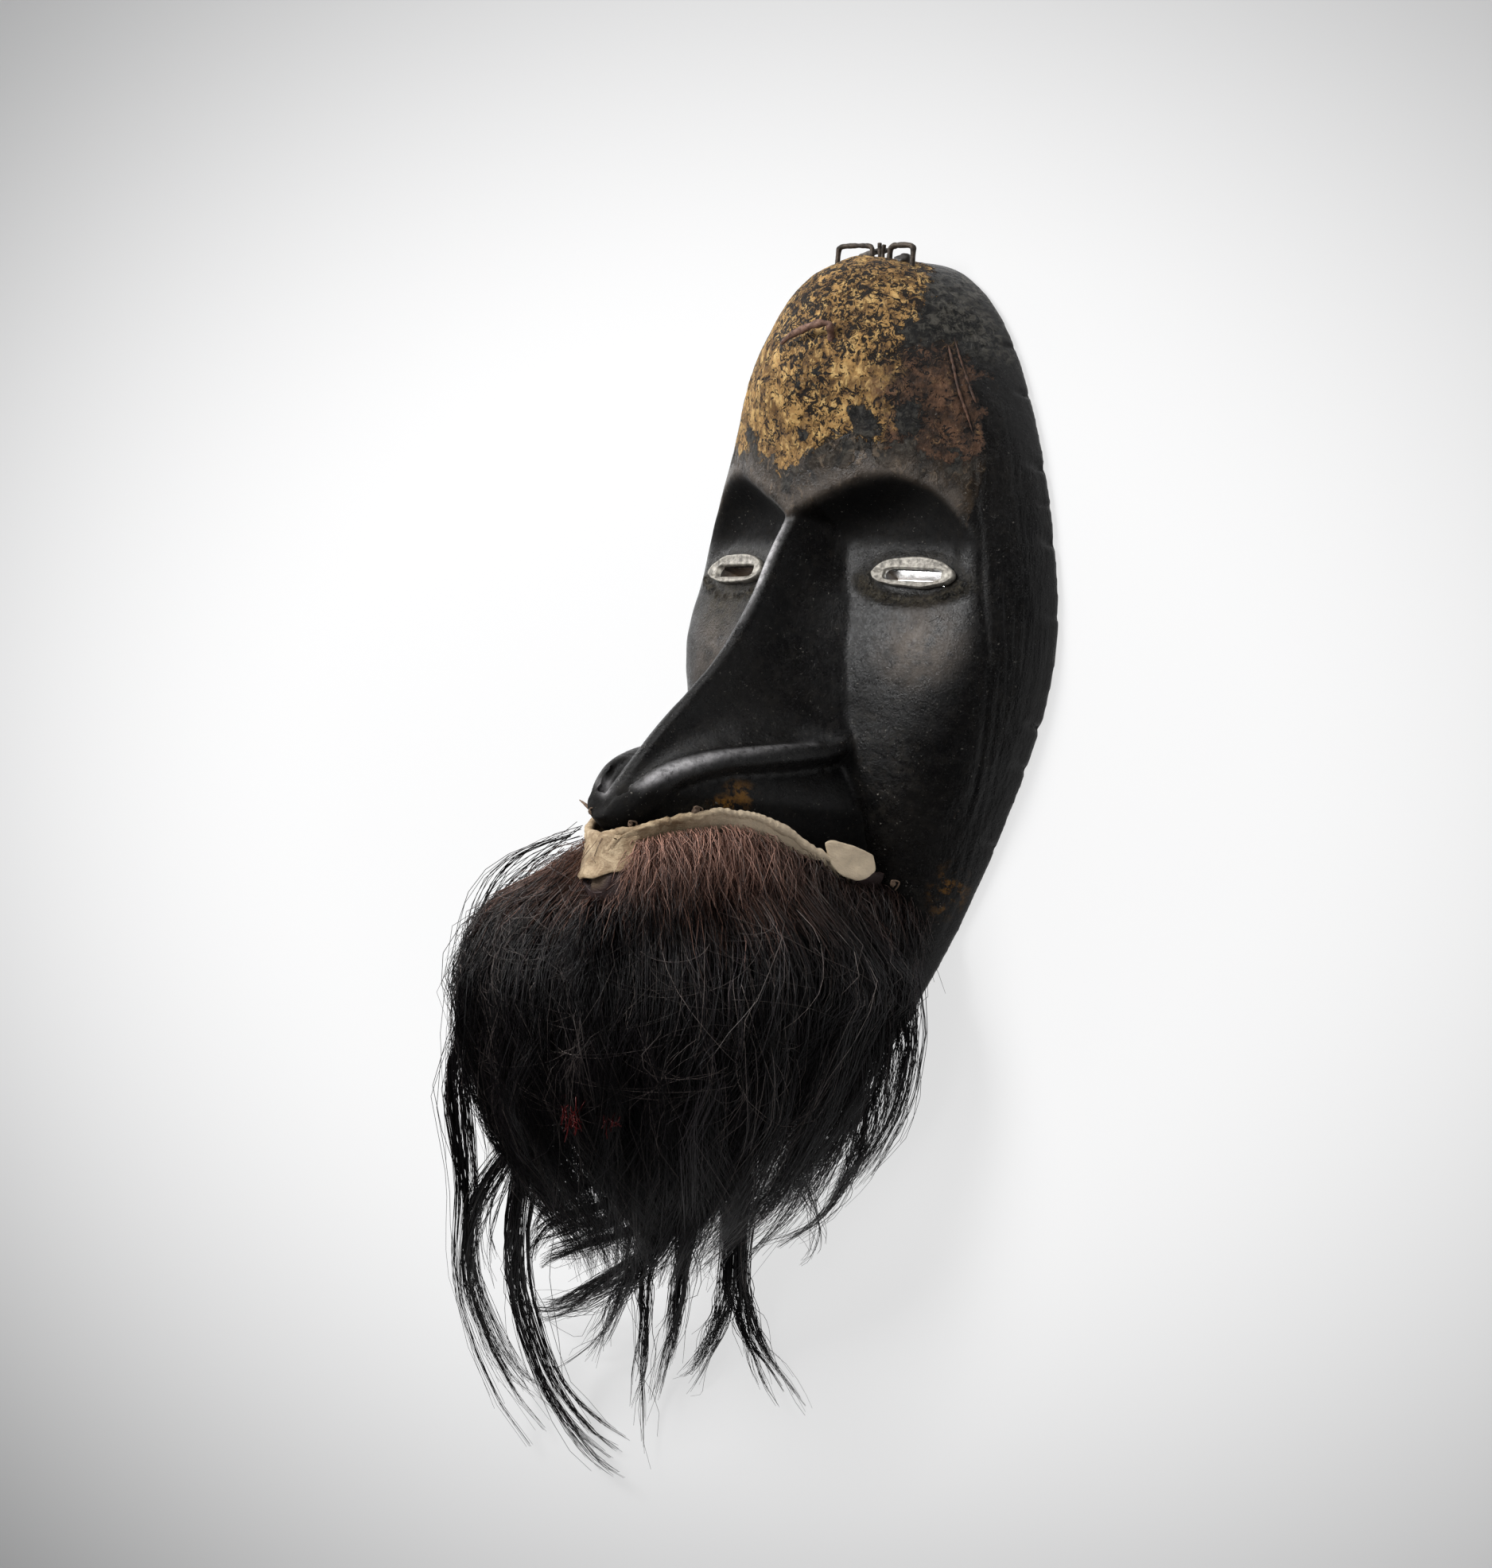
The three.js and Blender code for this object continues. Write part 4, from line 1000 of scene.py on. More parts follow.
def eye_rim(side):
    """A dented almond of sheet metal with pointed ends, a slit and a raised edge."""
    seed = 7.0 if side > 0 else 31.0
    points = []
    steps = 112
    for k in range(steps):
        turn = k / steps * 2 * math.pi
        c, d = math.cos(turn), math.sin(turn)
        dent = noise.noise(Vector((c * 2.2, d * 2.2, seed)))
        ox = (EYE_LENGTH / 2 + dent * 0.5) * math.copysign(abs(c) ** 0.9, c)
        high, power = (EYE_HEIGHT * 0.56, 1.3) if d > 0 else (EYE_HEIGHT * 0.44, 0.85)
        oy = (high + dent * 0.5) * math.copysign(abs(d) ** power, d)
        ix = (EYE_SLIT / 2 - 0.7) * math.copysign(abs(c) ** 0.3, c) + 0.2
        iy = EYE_SLIT_HEIGHT / 2 * math.copysign(abs(d) ** 0.45, d) - 0.45 + 0.12 * c
        lift = 0.35 * noise.noise(Vector((c * 3.1, d * 3.1, seed + 9)))
        across = [
            (0.0, -0.9), (0.0, 1.0), (0.05, 1.65 + lift), (0.14, 2.05 + lift),
            (0.3, 1.95 + lift), (0.5, 1.65 + lift * 1.6), (0.72, 1.75 + lift),
            (0.88, 1.95 + lift), (0.97, 1.75 + lift), (1.0, 1.2), (1.0, -0.9),
        ]
        points.extend((ox + (ix - ox) * t, oy + (iy - oy) * t, h) for t, h in across)
    name = "eye_rim_left" if side > 0 else "eye_rim_right"
    rim = mesh_object(name, onto_eye(points, side), ring_faces(steps, len(across)))
    tidy_normals(rim)
    apply_modifier(rim, "SUBSURF", levels=1, render_levels=1)
    smooth(rim)
    return rim


def crown_height(x, z):
    """Height of the crown's outer surface at a place across it and out from its rim."""
    low, high = 90.0, CROWN_Y
    for _ in range(30):
        y = (low + high) / 2
        share = 1 - (z / float(dome_depth(y))) ** SECTION_POWER
        reach = float(half_width(y)) * share ** (1 / SECTION_POWER) if share > 0 else 0
        if reach > abs(x):
            low = y
        else:
            high = y
    return low


def spline(points, count):
    """Evenly numbered points on a smooth way through a few."""
    p = np.array([points[0], *points, points[-1]], float)
    p[0], p[-1] = 2 * p[1] - p[2], 2 * p[-2] - p[-3]
    t = np.linspace(0, len(points) - 1, count)
    i = np.minimum(t.astype(int), len(points) - 2)
    f = (t - i)[:, None]
    a, b, c, d = p[i], p[i + 1], p[i + 2], p[i + 3]
    bend = (2 * a - 5 * b + 4 * c - d) * f ** 2
    return 0.5 * (2 * b + (c - a) * f + bend + (3 * b - a - 3 * c + d) * f ** 3)


def frames_along(ways):
    """Two directions square to each way at each of its points; ways is an array of (way, point, xyz)."""
    ahead = np.gradient(ways, axis=1)
    ahead /= np.maximum(np.linalg.norm(ahead, axis=2, keepdims=True), 1e-9)
    up = np.tile(np.array([0.31, 0.17, 0.93]), (len(ways), 1))
    first, second = np.zeros_like(ways), np.zeros_like(ways)
    for k in range(ways.shape[1]):
        tangent = ahead[:, k]
        one = up - (up * tangent).sum(axis=1, keepdims=True) * tangent
        one /= np.maximum(np.linalg.norm(one, axis=1, keepdims=True), 1e-9)
        first[:, k], second[:, k] = one, np.cross(tangent, one)
        up = one
    return first, second


def tubes(name, ways, radii, sides, colours=None):
    """Many thin closed tubes in one mesh. ways is (way, point, xyz), radii is (way, point)."""
    ways, radii = np.asarray(ways, float), np.asarray(radii, float)
    count, steps = ways.shape[:2]
    first, second = (side[:, :, None] for side in frames_along(ways))
    turn = (np.arange(sides) / sides * 2 * math.pi)[None, None, :, None]
    ring = ways[:, :, None] + radii[:, :, None, None] * (np.cos(turn) * first + np.sin(turn) * second)
    points = ring.reshape(-1, 3)
    base = (np.arange(count) * steps * sides)[:, None, None]
    i, j = np.arange(steps - 1)[None, :, None] * sides, np.arange(sides)[None, None, :]
    nxt = (j + 1) % sides
    here, ahead = base + i, base + i + sides
    quads = np.broadcast_arrays(here + j, here + nxt, ahead + nxt, ahead + j)
    quads = np.stack(quads, axis=-1).reshape(-1, 4)
    start = base[:, 0, 0][:, None] + np.arange(sides)[None, ::-1]
    end = base[:, 0, 0][:, None] + (steps - 1) * sides + np.arange(sides)[None, :]
    corners = np.concatenate([quads.ravel(), start.ravel(), end.ravel()]).astype(np.int32)
    sizes = np.concatenate([np.full(len(quads), 4), np.full(count * 2, sides)]).astype(np.int32)
    mesh = bpy.data.meshes.new(name)
    mesh.vertices.add(len(points))
    mesh.vertices.foreach_set("co", world(points).ravel())
    mesh.loops.add(len(corners))
    mesh.loops.foreach_set("vertex_index", corners)
    mesh.polygons.add(len(sizes))
    mesh.polygons.foreach_set("loop_start", np.concatenate([[0], np.cumsum(sizes)[:-1]]).astype(np.int32))
    mesh.polygons.foreach_set("loop_total", sizes)
    mesh.update(calc_edges=True)
    mesh.validate()
    piece = linked(name, mesh)
    smooth(piece)
    if colours is not None:
        paint_colour(piece, "tint", np.repeat(np.asarray(colours).reshape(-1, 3), sides, axis=0))
    return piece


def wire(name, points, radius, count=28, sides=10, rough=0.12, flat=1.0, seed=0.0, taper=None):
    """One bent wire, nail or twig with an uneven skin."""
    way = spline(points, count)
    size = np.array([radius * (1 + rough * 2 * noise.noise(Vector(tuple(q * 0.9 + seed)))) for q in way])
    if taper is not None:
        size *= taper(np.linspace(0, 1, count))
    piece = tubes(name, way[None], size[None], sides)
    if flat != 1.0:
        p = coordinates(piece)
        centre = np.repeat(way, sides, axis=0)
        p[:, 2] = centre[:, 2] + (p[:, 2] - centre[:, 2]) * flat
        set_coordinates(piece, p)
    apply_modifier(piece, "SUBSURF", levels=1, render_levels=1)
    smooth(piece)
    return piece


def staple_way(x, z, width, rise):
    """The way of a square-topped staple from one buried foot to the other."""
    left, right = x - width / 2, x + width / 2
    top = crown_height(0, z) + rise
    sink = 6
    return [
        (left, crown_height(left, z) - sink, z), (left, top - 2, z), (left + 0.5, top - 0.5, z),
        (left + 1.8, top, z), (x, top + 0.15, z), (right - 1.8, top, z),
        (right - 0.5, top - 0.5, z), (right, top - 2, z), (right, crown_height(right, z) - sink, z),
    ]


jaw_half, jaw_top, jaw_bottom = (profile(JAW, column) for column in (1, 2, 3))
HIDE_THICKNESS = 1.3
EDGE_OUT, EDGE_UP = 1.7, 2.7


def jaw_edge(z, side):
    """Where the upper edge of the skin stands at a place out from the rim: across and up."""
    long_wave = noise.noise(Vector((z * 0.13, side * 3.0, 4.0)))
    wave = 1.1 * long_wave + 0.4 * noise.noise(Vector((z * 0.4, side * 5.0, 9.0)))
    return side * (float(jaw_half(z)) + EDGE_OUT), float(jaw_top(z)) + EDGE_UP + wave


def jaw_sheet(grow, stations, sides):
    """A sheet round the jaw from its near upper edge, under it, to its far upper edge."""
    across, up = rounded(np.radians(np.linspace(38, -218, sides)), JAW_POWER)
    rise = np.linspace(0, 0.92, 8)[:, None]
    rows = []
    for half, middle, high, z, out in snout_stations(JAW, grow, stations):
        round_jaw = np.stack([half * across, middle + high * up], axis=1)
        near, far = np.array(jaw_edge(z, 1)), np.array(jaw_edge(z, -1))
        climb = near + (round_jaw[0] - near) * rise
        fall = far + (round_jaw[-1] - far) * rise
        row = np.concatenate([climb, round_jaw, fall[::-1]])
        rows.append(np.column_stack([row, np.full(len(row), out)]))
    return np.array(rows)


def build_hide():
    """The dried skin: its cream edge is rolled round the jaw and its bare front shows below the beak."""
    grid = jaw_sheet(HIDE_THICKNESS, 70, 84)
    rows, count = grid.shape[:2]
    tip = grid[-1].mean(axis=0) + np.array([0, 0, 0.9])
    points = np.concatenate([grid.reshape(-1, 3), tip[None]])
    faces = grid_faces(rows, count, False)
    last = (rows - 1) * count
    faces += [[last + j, last + j + 1, rows * count] for j in range(count - 1)]
    hide = mesh_object("hide", points, faces)
    tidy_normals(hide)
    p = coordinates(hide)
    bumps = np.clip(noise_at(p, (0.12, 0.7), (0.5, 0.25)), -0.3, 0.8)
    set_coordinates(hide, p + vertex_normals(hide) * bumps[:, None])
    apply_modifier(hide, "SOLIDIFY", thickness=HIDE_THICKNESS * MM, offset=1.0)
    crest = []
    for side, stations in ((1, np.linspace(37, 103, 15)), (-1, np.linspace(103, 16, 15))):
        for z in stations:
            x, y = jaw_edge(z, side)
            crest.append((x + side * 0.5, y - 0.2, z))
        if side > 0:
            crest += [(6, -52.8, 106.2), (0, -54.2, 107.0), (-6, -53.4, 105.8)]
    roll = wire("hide_roll", crest, 1.35, 260, 8, 0.3, seed=5.0)
    hide = joined("hide", [hide, roll])
    p = coordinates(hide)
    x, y, z = p.T
    edge = jaw_top(z)
    wobble = noise_at(p, (0.25, 1), (0.7, 0.6))
    covered = np.clip((edge - 1.2 - wobble * 1.3 - y) / 2.2, 0, 1)
    furred = covered * (1 - bare_front(x, z) * smoothstep((y - edge + 8) / 2))
    furred = np.maximum(furred, smoothstep((37 - z) / 4) * (x > 0))
    paint(hide, "furred", furred)
    paint(hide, "pale", smoothstep((94 - z) / 24) * (x > 0))
    hide.data.materials.clear()
    hide.data.materials.append(hide_material())
    smooth(hide)
    return hide


def bare_front(x, z):
    """1 on the part of the skin in front, below the beak's tip, that has lost its hair."""
    return smoothstep((z - 93) / 6) * smoothstep((8 - x) / 2.5)


def skin_sheet(name, corners, thickness, levels, bumpy=0.5):
    """A curled scrap of skin from rows of points."""
    rows, count = len(corners), len(corners[0])
    scrap = mesh_object(name, np.array(corners, float).reshape(-1, 3), grid_faces(rows, count, False))
    tidy_normals(scrap)
    apply_modifier(scrap, "SOLIDIFY", thickness=thickness * MM, offset=0.0)
    apply_modifier(scrap, "SUBSURF", levels=levels, render_levels=levels)
    p = coordinates(scrap)
    set_coordinates(scrap, p + vertex_normals(scrap) * noise_at(p, (0.35, 1))[:, None] * bumpy)
    paint(scrap, "furred", np.zeros(len(p)))
    paint(scrap, "pale", smoothstep((94 - p[:, 2]) / 24))
    scrap.data.materials.append(bpy.data.materials["dried_hide"])
    smooth(scrap)
    return scrap


# Knots of the binding: place and radius.
KNOTS = [
    (16.0, -44.8, 86.5, 1.2), (-4.5, -47.5, 107.6, 0.9), (8.5, -50.2, 104.4, 0.7),
    (34.5, -59.5, 24, 0.8),
]
# The upper and lower edge of the folded corner of skin.
FLAP_TOP = [(27.0, -49.8, 45.5), (28.4, -48.8, 43), (30.5, -49.6, 39), (33.0, -51.7, 31)]
FLAP_LOW = [(28.3, -55.9, 43.5), (29.8, -58.9, 40.3), (31.9, -59.7, 34.1), (33.4, -56.6, 30)]


def build_flap():
    """The pale folded corner of skin at the near end of the band."""
    top, low = spline(FLAP_TOP, 9), spline(FLAP_LOW, 9)
    share = np.linspace(0, 1, 6)[:, None]
    swell = np.array([-0.2, 0, 0.0])
    rows = [a + (b - a) * share + swell * np.sin(share * math.pi) * 0.8 for a, b in zip(top, low)]
    return skin_sheet("hide_flap", rows, 1.0, 2, 0.25)


def build_apron():
    """The bare scrap of skin that hangs below the beak's tip, its lower edge standing off the hair."""
    rows = []
    for x in np.linspace(-18.5, 11.0, 14):
        a = (x + 3.75) / 14.75
        share = np.linspace(0, 1, 8)
        y = -53 - share * (13.9 - 2.4 * a ** 2 - 2.2 * max(a, 0) ** 3 + 0.5 * math.sin(x * 0.8))
        rows.append(np.stack([np.full(8, x), y, 108.9 - APRON_BEND * x * x + 1.8 * share ** 3], axis=1))
    return skin_sheet("hide_apron", rows, 1.1, 1)


mass_long, mass_short, mass_sweep, mass_z = (profile(HAIR_MASS, column) for column in (1, 2, 3, 4))
MASS_TOP, MASS_BOTTOM = HAIR_MASS[0][0], HAIR_MASS[-1][0]
RIDGES, RIDGE_COUNT = 1.6, 14
ROOTS_HALF, ROOTS_MIDDLE, ROOTS_REACH = 28, 60, 50
APRON_BEND = 0.056


def mass_point(y, turn, reach, ridges=0.0):
    """A place in the mass of hair: height, angle round it and share of the way out."""
    y, turn, reach = np.broadcast_arrays(np.asarray(y, float), turn, reach)
    loose = smoothstep((MASS_TOP - y) / 24)
    angle = turn - math.pi / 4
    ridge = 1 + ridges / 60 * np.sin(RIDGE_COUNT * angle + y * 0.035) * loose
    along = mass_long(y) * np.cos(turn) * math.sqrt(0.5) * reach * ridge
    across = mass_short(y) * np.sin(turn) * math.sqrt(0.5) * reach * ridge
    jaw_x = ROOTS_HALF * np.sin(angle) * (1 - 0.45 * np.cos(angle)) * reach
    jaw_z = ROOTS_MIDDLE + ROOTS_REACH * np.cos(angle) * reach
    x = jaw_x + (mass_z(y) - mass_sweep(y) - along + across - jaw_x) * loose
    z = jaw_z + (mass_z(y) + along + across - jaw_z) * loose
    return np.stack([x, y, np.maximum(z, FLOOR_CLEARANCE)], axis=-1)


# How low the coat hangs at each angle round the mass, from camera-left over the front to its right.
HAIR_END = [
    (-0.5, -160), (0.0, -156), (0.6, -158), (1.2, -166), (1.8, -168),
    (2.3, -162), (2.9, -147), (3.5, -134), (4.5, -146), (5.9, -160),
]


def hair_end(turn):
    """The height of the coat's loose end at an angle round the mass."""
    return profile(HAIR_END)(np.where(turn > HAIR_END[-1][0], turn - 2 * math.pi, turn))


def noise_round(turn, size, height):
    """Noise on a circle, one value for each angle."""
    return np.array([noise.noise(Vector((math.cos(t) * size, math.sin(t) * size, height))) for t in turn])


def build_under_hair():
    """The closed dark mass below the top coat, combed into ridges, with a ragged lower end."""
    stations, sides = 60, 240
    turn = np.arange(sides) / sides * 2 * math.pi
    low = hair_end(turn) + 9
    low += 14 * noise_round(turn, 6, 3.0)
    rings = []
    for k in range(stations + 1):
        share = k / stations
        y = MASS_TOP - 1 + (low + 1 - MASS_TOP) * share
        comb = noise_round(turn, 14, share * 2)
        c = np.cos(turn)
        narrow = np.where(c < 0, 0.26, 0.2) * np.abs(c) ** 3 * smoothstep((share - 0.25) / 0.3)
        reach = (0.87 + 0.06 * comb - narrow) * (1 - 0.36 * smoothstep((share - 0.6) / 0.4))
        rings.append(mass_point(y, turn, reach, RIDGES))
    under = mesh_object("under_hair", *loft_shape(rings))
    tidy_normals(under)
    under.data.materials.append(under_hair_material())
    smooth(under)
    return under


def strand_noise(rng, count, steps, size):
    """Smooth side to side wandering for each strand, none at the root."""
    t = np.linspace(0, 1, steps)[None, :, None]
    total = np.zeros((count, steps, 3))
    for cycles in (0.7, 1.6, 3.4):
        phase = rng.uniform(0, 2 * math.pi, (count, 1, 3))
        rate = cycles * rng.uniform(0.7, 1.3, (count, 1, 3))
        wave = rng.normal(0, 1, (count, 1, 3)) * np.sin(t * rate * 2 * math.pi + phase)
        total += wave / (cycles ** 0.8)
    return total * size * smoothstep(t * 3)


BLACK = np.array([0.0062, 0.005, 0.0056])
BROWN = np.array([0.43, 0.235, 0.175])
GREY = np.array([0.15, 0.125, 0.115])
RED = np.array([0.13, 0.006, 0.006])


def hair_colours(rng, ways, brownness, pale=0.06):
    """Black hairs that start brown near the skin, with some grey-brown ones among them."""
    count, steps = ways.shape[:2]
    y, z = ways[:, :, 1], ways[:, :, 2]
    bright = rng.lognormal(0, 0.7, (count, 1, 1))
    colours = np.tile(BLACK, (count, steps, 1)) * bright
    root = smoothstep((y + 78 + rng.normal(0, 6, (count, 1))) / 21) * brownness
    root = root * (0.12 + 0.88 * smoothstep((z - 46) / 34))
    colours = colours + (BROWN * rng.uniform(0.35, 1.4, (count, 1, 1)) - colours) * root[:, :, None]
    odd = (rng.random((count, 1, 1)) < pale) * rng.uniform(0.2, 0.9, (count, 1, 1))
    return colours + (GREY - colours) * odd


def spring(y, turn):
    """How far the hair at camera-left stands out from the skin before it falls."""
    side = np.maximum(np.cos(turn), 0)
    near = np.maximum(-np.cos(turn), 0)
    swell = 0.1 * np.exp(-((y + 60) / 6) ** 2)
    fall = 0.03 * smoothstep((-y - 66) / 10)
    out = side * (swell - fall - 0.1 * smoothstep((-y - 96) / 18))
    return 1 + out - near * 0.26 * smoothstep((-y - 90) / 18)


def coat_ways(rng, clumps, per, steps, unruly):
    """Clumped strands that follow the mass from the skin to their loose ends."""
    turn0 = rng.uniform(0, 2 * math.pi, clumps)
    front = rng.random(clumps) < 0.76
    turn0[front] = rng.uniform(-0.35, math.pi + 0.35, front.sum())
    start = MASS_TOP - 1 - np.abs(rng.normal(0, 13, clumps))
    below_tip = np.minimum(start, -66 - rng.uniform(0, 6, clumps))
    start = np.where(np.cos(turn0 - math.pi / 4) > 0.9, below_tip, start)
    end = np.clip(hair_end(turn0) + rng.normal(6, 13, clumps), MASS_BOTTOM - 6, start - 30)
    swirl = rng.normal(0.04, 0.16, clumps)
    hook = rng.normal(0, 0.3, clumps)
    lift = rng.normal(0.95, 0.035, clumps)
    outward = rng.random(clumps) < 0.25
    flare = np.where(outward, rng.uniform(0.0, 0.06, clumps), rng.uniform(-0.16, 0.0, clumps))
    n = clumps * per
    owner = np.repeat(np.arange(clumps), per)
    t = np.linspace(0, 1, steps)[None, :]
    gather = 1 - 0.8 * smoothstep(t * 1.1)
    turn = turn0[owner][:, None] + swirl[owner][:, None] * t + hook[owner][:, None] * t ** 4
    turn = turn + rng.normal(0, 0.085, (n, 1)) * gather
    y0 = start[owner] + rng.normal(0, 3.5, n)
    y1 = end[owner] + rng.normal(0, 5, n)
    y = y0[:, None] + (y1 - y0)[:, None] * t ** 0.9
    y = np.clip(y, MASS_BOTTOM - 9, MASS_TOP + 1)
    reach = lift[owner][:, None] + flare[owner][:, None] * t ** 2 + rng.normal(0, 0.02, (n, 1)) * gather
    stand = rng.uniform(0.5, 1.1, clumps)[owner][:, None]
    reach = reach * (1 - 0.1 * np.exp(-t * 9)) * (1 + (spring(y, turn) - 1) * stand)
    ways = mass_point(y, turn, reach, RIDGES)
    wild = np.where(rng.random((n, 1, 1)) < unruly, rng.uniform(1.5, 4.5, (n, 1, 1)), 1.0)
    ways += strand_noise(rng, clumps, steps, 1.9)[owner] + strand_noise(rng, n, steps, 0.5) * wild
    ways[:, :, 2] = np.maximum(ways[:, :, 2], HAIR_FLOOR)
    return ways


def hair_radii(rng, ways, root, tip, least, most=1.2, power=1.4):
    """Radii that taper along each hair, and each hair has a thickness of its own."""
    t = np.linspace(0, 1, ways.shape[1])
    return (root + (tip - root) * t ** power)[None] * rng.uniform(least, most, (len(ways), 1))


def coat_piece(name, seed, clumps, per, steps, brownness, unruly, pale, root=0.14):
    """One layer of long hair, clump by clump."""
    rng = np.random.default_rng(seed)
    ways = coat_ways(rng, clumps, per, steps, unruly)
    size = hair_radii(rng, ways, root, 0.045, 0.7)
    shade = np.repeat(rng.lognormal(0, 0.5, clumps), per)[:, None, None]
    return tubes(name, ways, size, HAIR_SIDES, hair_colours(rng, ways, brownness, pale) * shade)


def short_fur(name, seed, count):
    """Short brown hairs that stand on the skin just below its edge."""
    rng = np.random.default_rng(seed)
    steps, above_jaw = 5, 2.9
    z = rng.uniform(10, 107, count)
    z[: count // 4] = rng.uniform(86, 107.5, count // 4)
    side = np.where(rng.random(count) < 0.68, 1.0, -1.0)
    top, bottom, half = jaw_top(z), jaw_bottom(z), jaw_half(z)
    drop = 0.6 + np.abs(rng.normal(0, 8, count))
    middle, high = (top + bottom) / 2, (top - bottom) / 2 + above_jaw
    cap = np.clip((z - 98) / 8, 0, 1)
    inward = np.where(rng.random(count) < cap, rng.uniform(0, 1, count), 1)
    drop += 14 * bare_front(side * half * inward, z)
    y = top - drop
    up = np.clip((y - middle) / high, -1, 1)
    upright = side * (half + above_jaw)
    curved = upright * (1 - np.abs(up) ** JAW_POWER) ** (1 / JAW_POWER)
    root = np.stack([np.where(y > middle, upright, curved) * inward, y, z + 2.4 * cap], axis=1)
    out = np.stack([
        side * (0.75 - 0.5 * cap) + rng.normal(0, 0.2, count),
        -0.55 + rng.normal(0, 0.2, count),
        0.12 + 0.75 * cap + rng.normal(0, 0.25, count),
    ], axis=1)
    out /= np.linalg.norm(out, axis=1, keepdims=True)
    length = rng.uniform(5, 17, count)[:, None, None]
    t = np.linspace(0, 1, steps)[None, :, None]
    hang = [rng.normal(-0.05, 0.3, count), np.full(count, -1.0), rng.normal(0.1, 0.3, count)]
    hang = np.stack(hang, axis=1)
    ways = root[:, None] + out[:, None] * length * t * (1 - 0.45 * t)
    ways = ways + hang[:, None] * length * 0.75 * t ** 2
    ways += strand_noise(rng, count, steps, 0.6)
    size = hair_radii(rng, ways, 0.14, 0.045, 0.8, 1.25)
    return tubes(name, ways, size, HAIR_SIDES, hair_colours(rng, ways, 1.0))


# Locks as thickness, hairs and way in the mask's millimetres, from inside the mass to the tip.
LOCKS = [
    (7, 210, [
        (-48, -76, 88), (-62, -89, 86), (-70.7, -102.7, 84), (-79.3, -124.8, 84), (-81.3, -144.6, 77),
        (-87.2, -159.3, 68), (-102.1, -175.8, 54), (-116.7, -191.3, 38), (-123.9, -213, 17),
        (-117.7, -230.4, 5), (-103, -237.2, 2.6),
    ]),
    (6, 130, [
        (-46.5, -131.7, 76), (-71.9, -152.6, 72), (-88.6, -163.4, 63), (-104.2, -175.8, 50),
        (-118.5, -194, 30), (-121.3, -216.1, 9), (-109, -224.7, 3),
    ]),
    (7, 240, [
        (-55.4, -130.9, 70), (-64.2, -158.6, 66), (-75.7, -170.6, 56), (-86.6, -182.7, 44),
        (-96.3, -195.7, 30), (-100, -216, 13), (-88.4, -230, 4), (-70.3, -235.1, 2.6),
    ]),
    (5, 110, [
        (-11.4, -156, 50), (-36.3, -172.6, 38), (-59.3, -180.8, 27), (-83.1, -188.2, 17),
        (-104.6, -193.2, 9), (-121.7, -193.9, 5), (-126.5, -189.1, 4),
    ]),
    (6, 130, [
        (-24, -153.9, 52), (-44.4, -175.8, 38), (-57.4, -183.9, 29), (-74.2, -193.4, 18),
        (-91, -202.6, 9), (-108.6, -212.9, 3),
    ]),
    (4.5, 90, [
        (-20.7, -153.5, 48), (-44, -175.6, 33), (-53.3, -188.7, 23), (-63.4, -201.9, 13),
        (-69.9, -215.1, 6), (-71.3, -234.7, 2.6),
    ]),
    (7, 210, [
        (-11, -150.6, 46), (-18.5, -162.4, 42), (-29.5, -174.4, 32), (-41.2, -186.5, 22),
        (-53.5, -198.9, 12), (-62.6, -212.3, 6), (-69.9, -226.2, 2.6),
    ]),
    (5, 100, [
        (-9.3, -151, 36), (-24.1, -177.6, 19), (-33.2, -187.6, 11), (-42, -197.7, 6.5),
        (-50.5, -205.3, 4), (-61.2, -211.2, 2.6),
    ]),
    (7, 190, [
        (-3.7, -145.4, 36), (-19.9, -173.1, 20), (-24.6, -184.2, 12), (-23.6, -194.5, 7.5),
        (-19.6, -203.6, 4.8), (-7.3, -217.7, 2.6),
    ]),
    (6, 90, [
        (27.7, -118.4, 20), (22.6, -133, 15), (12.6, -144.9, 9), (1.3, -156.1, 6), (-12.4, -164.9, 4),
        (-27.8, -170.9, 3),
    ]),
]
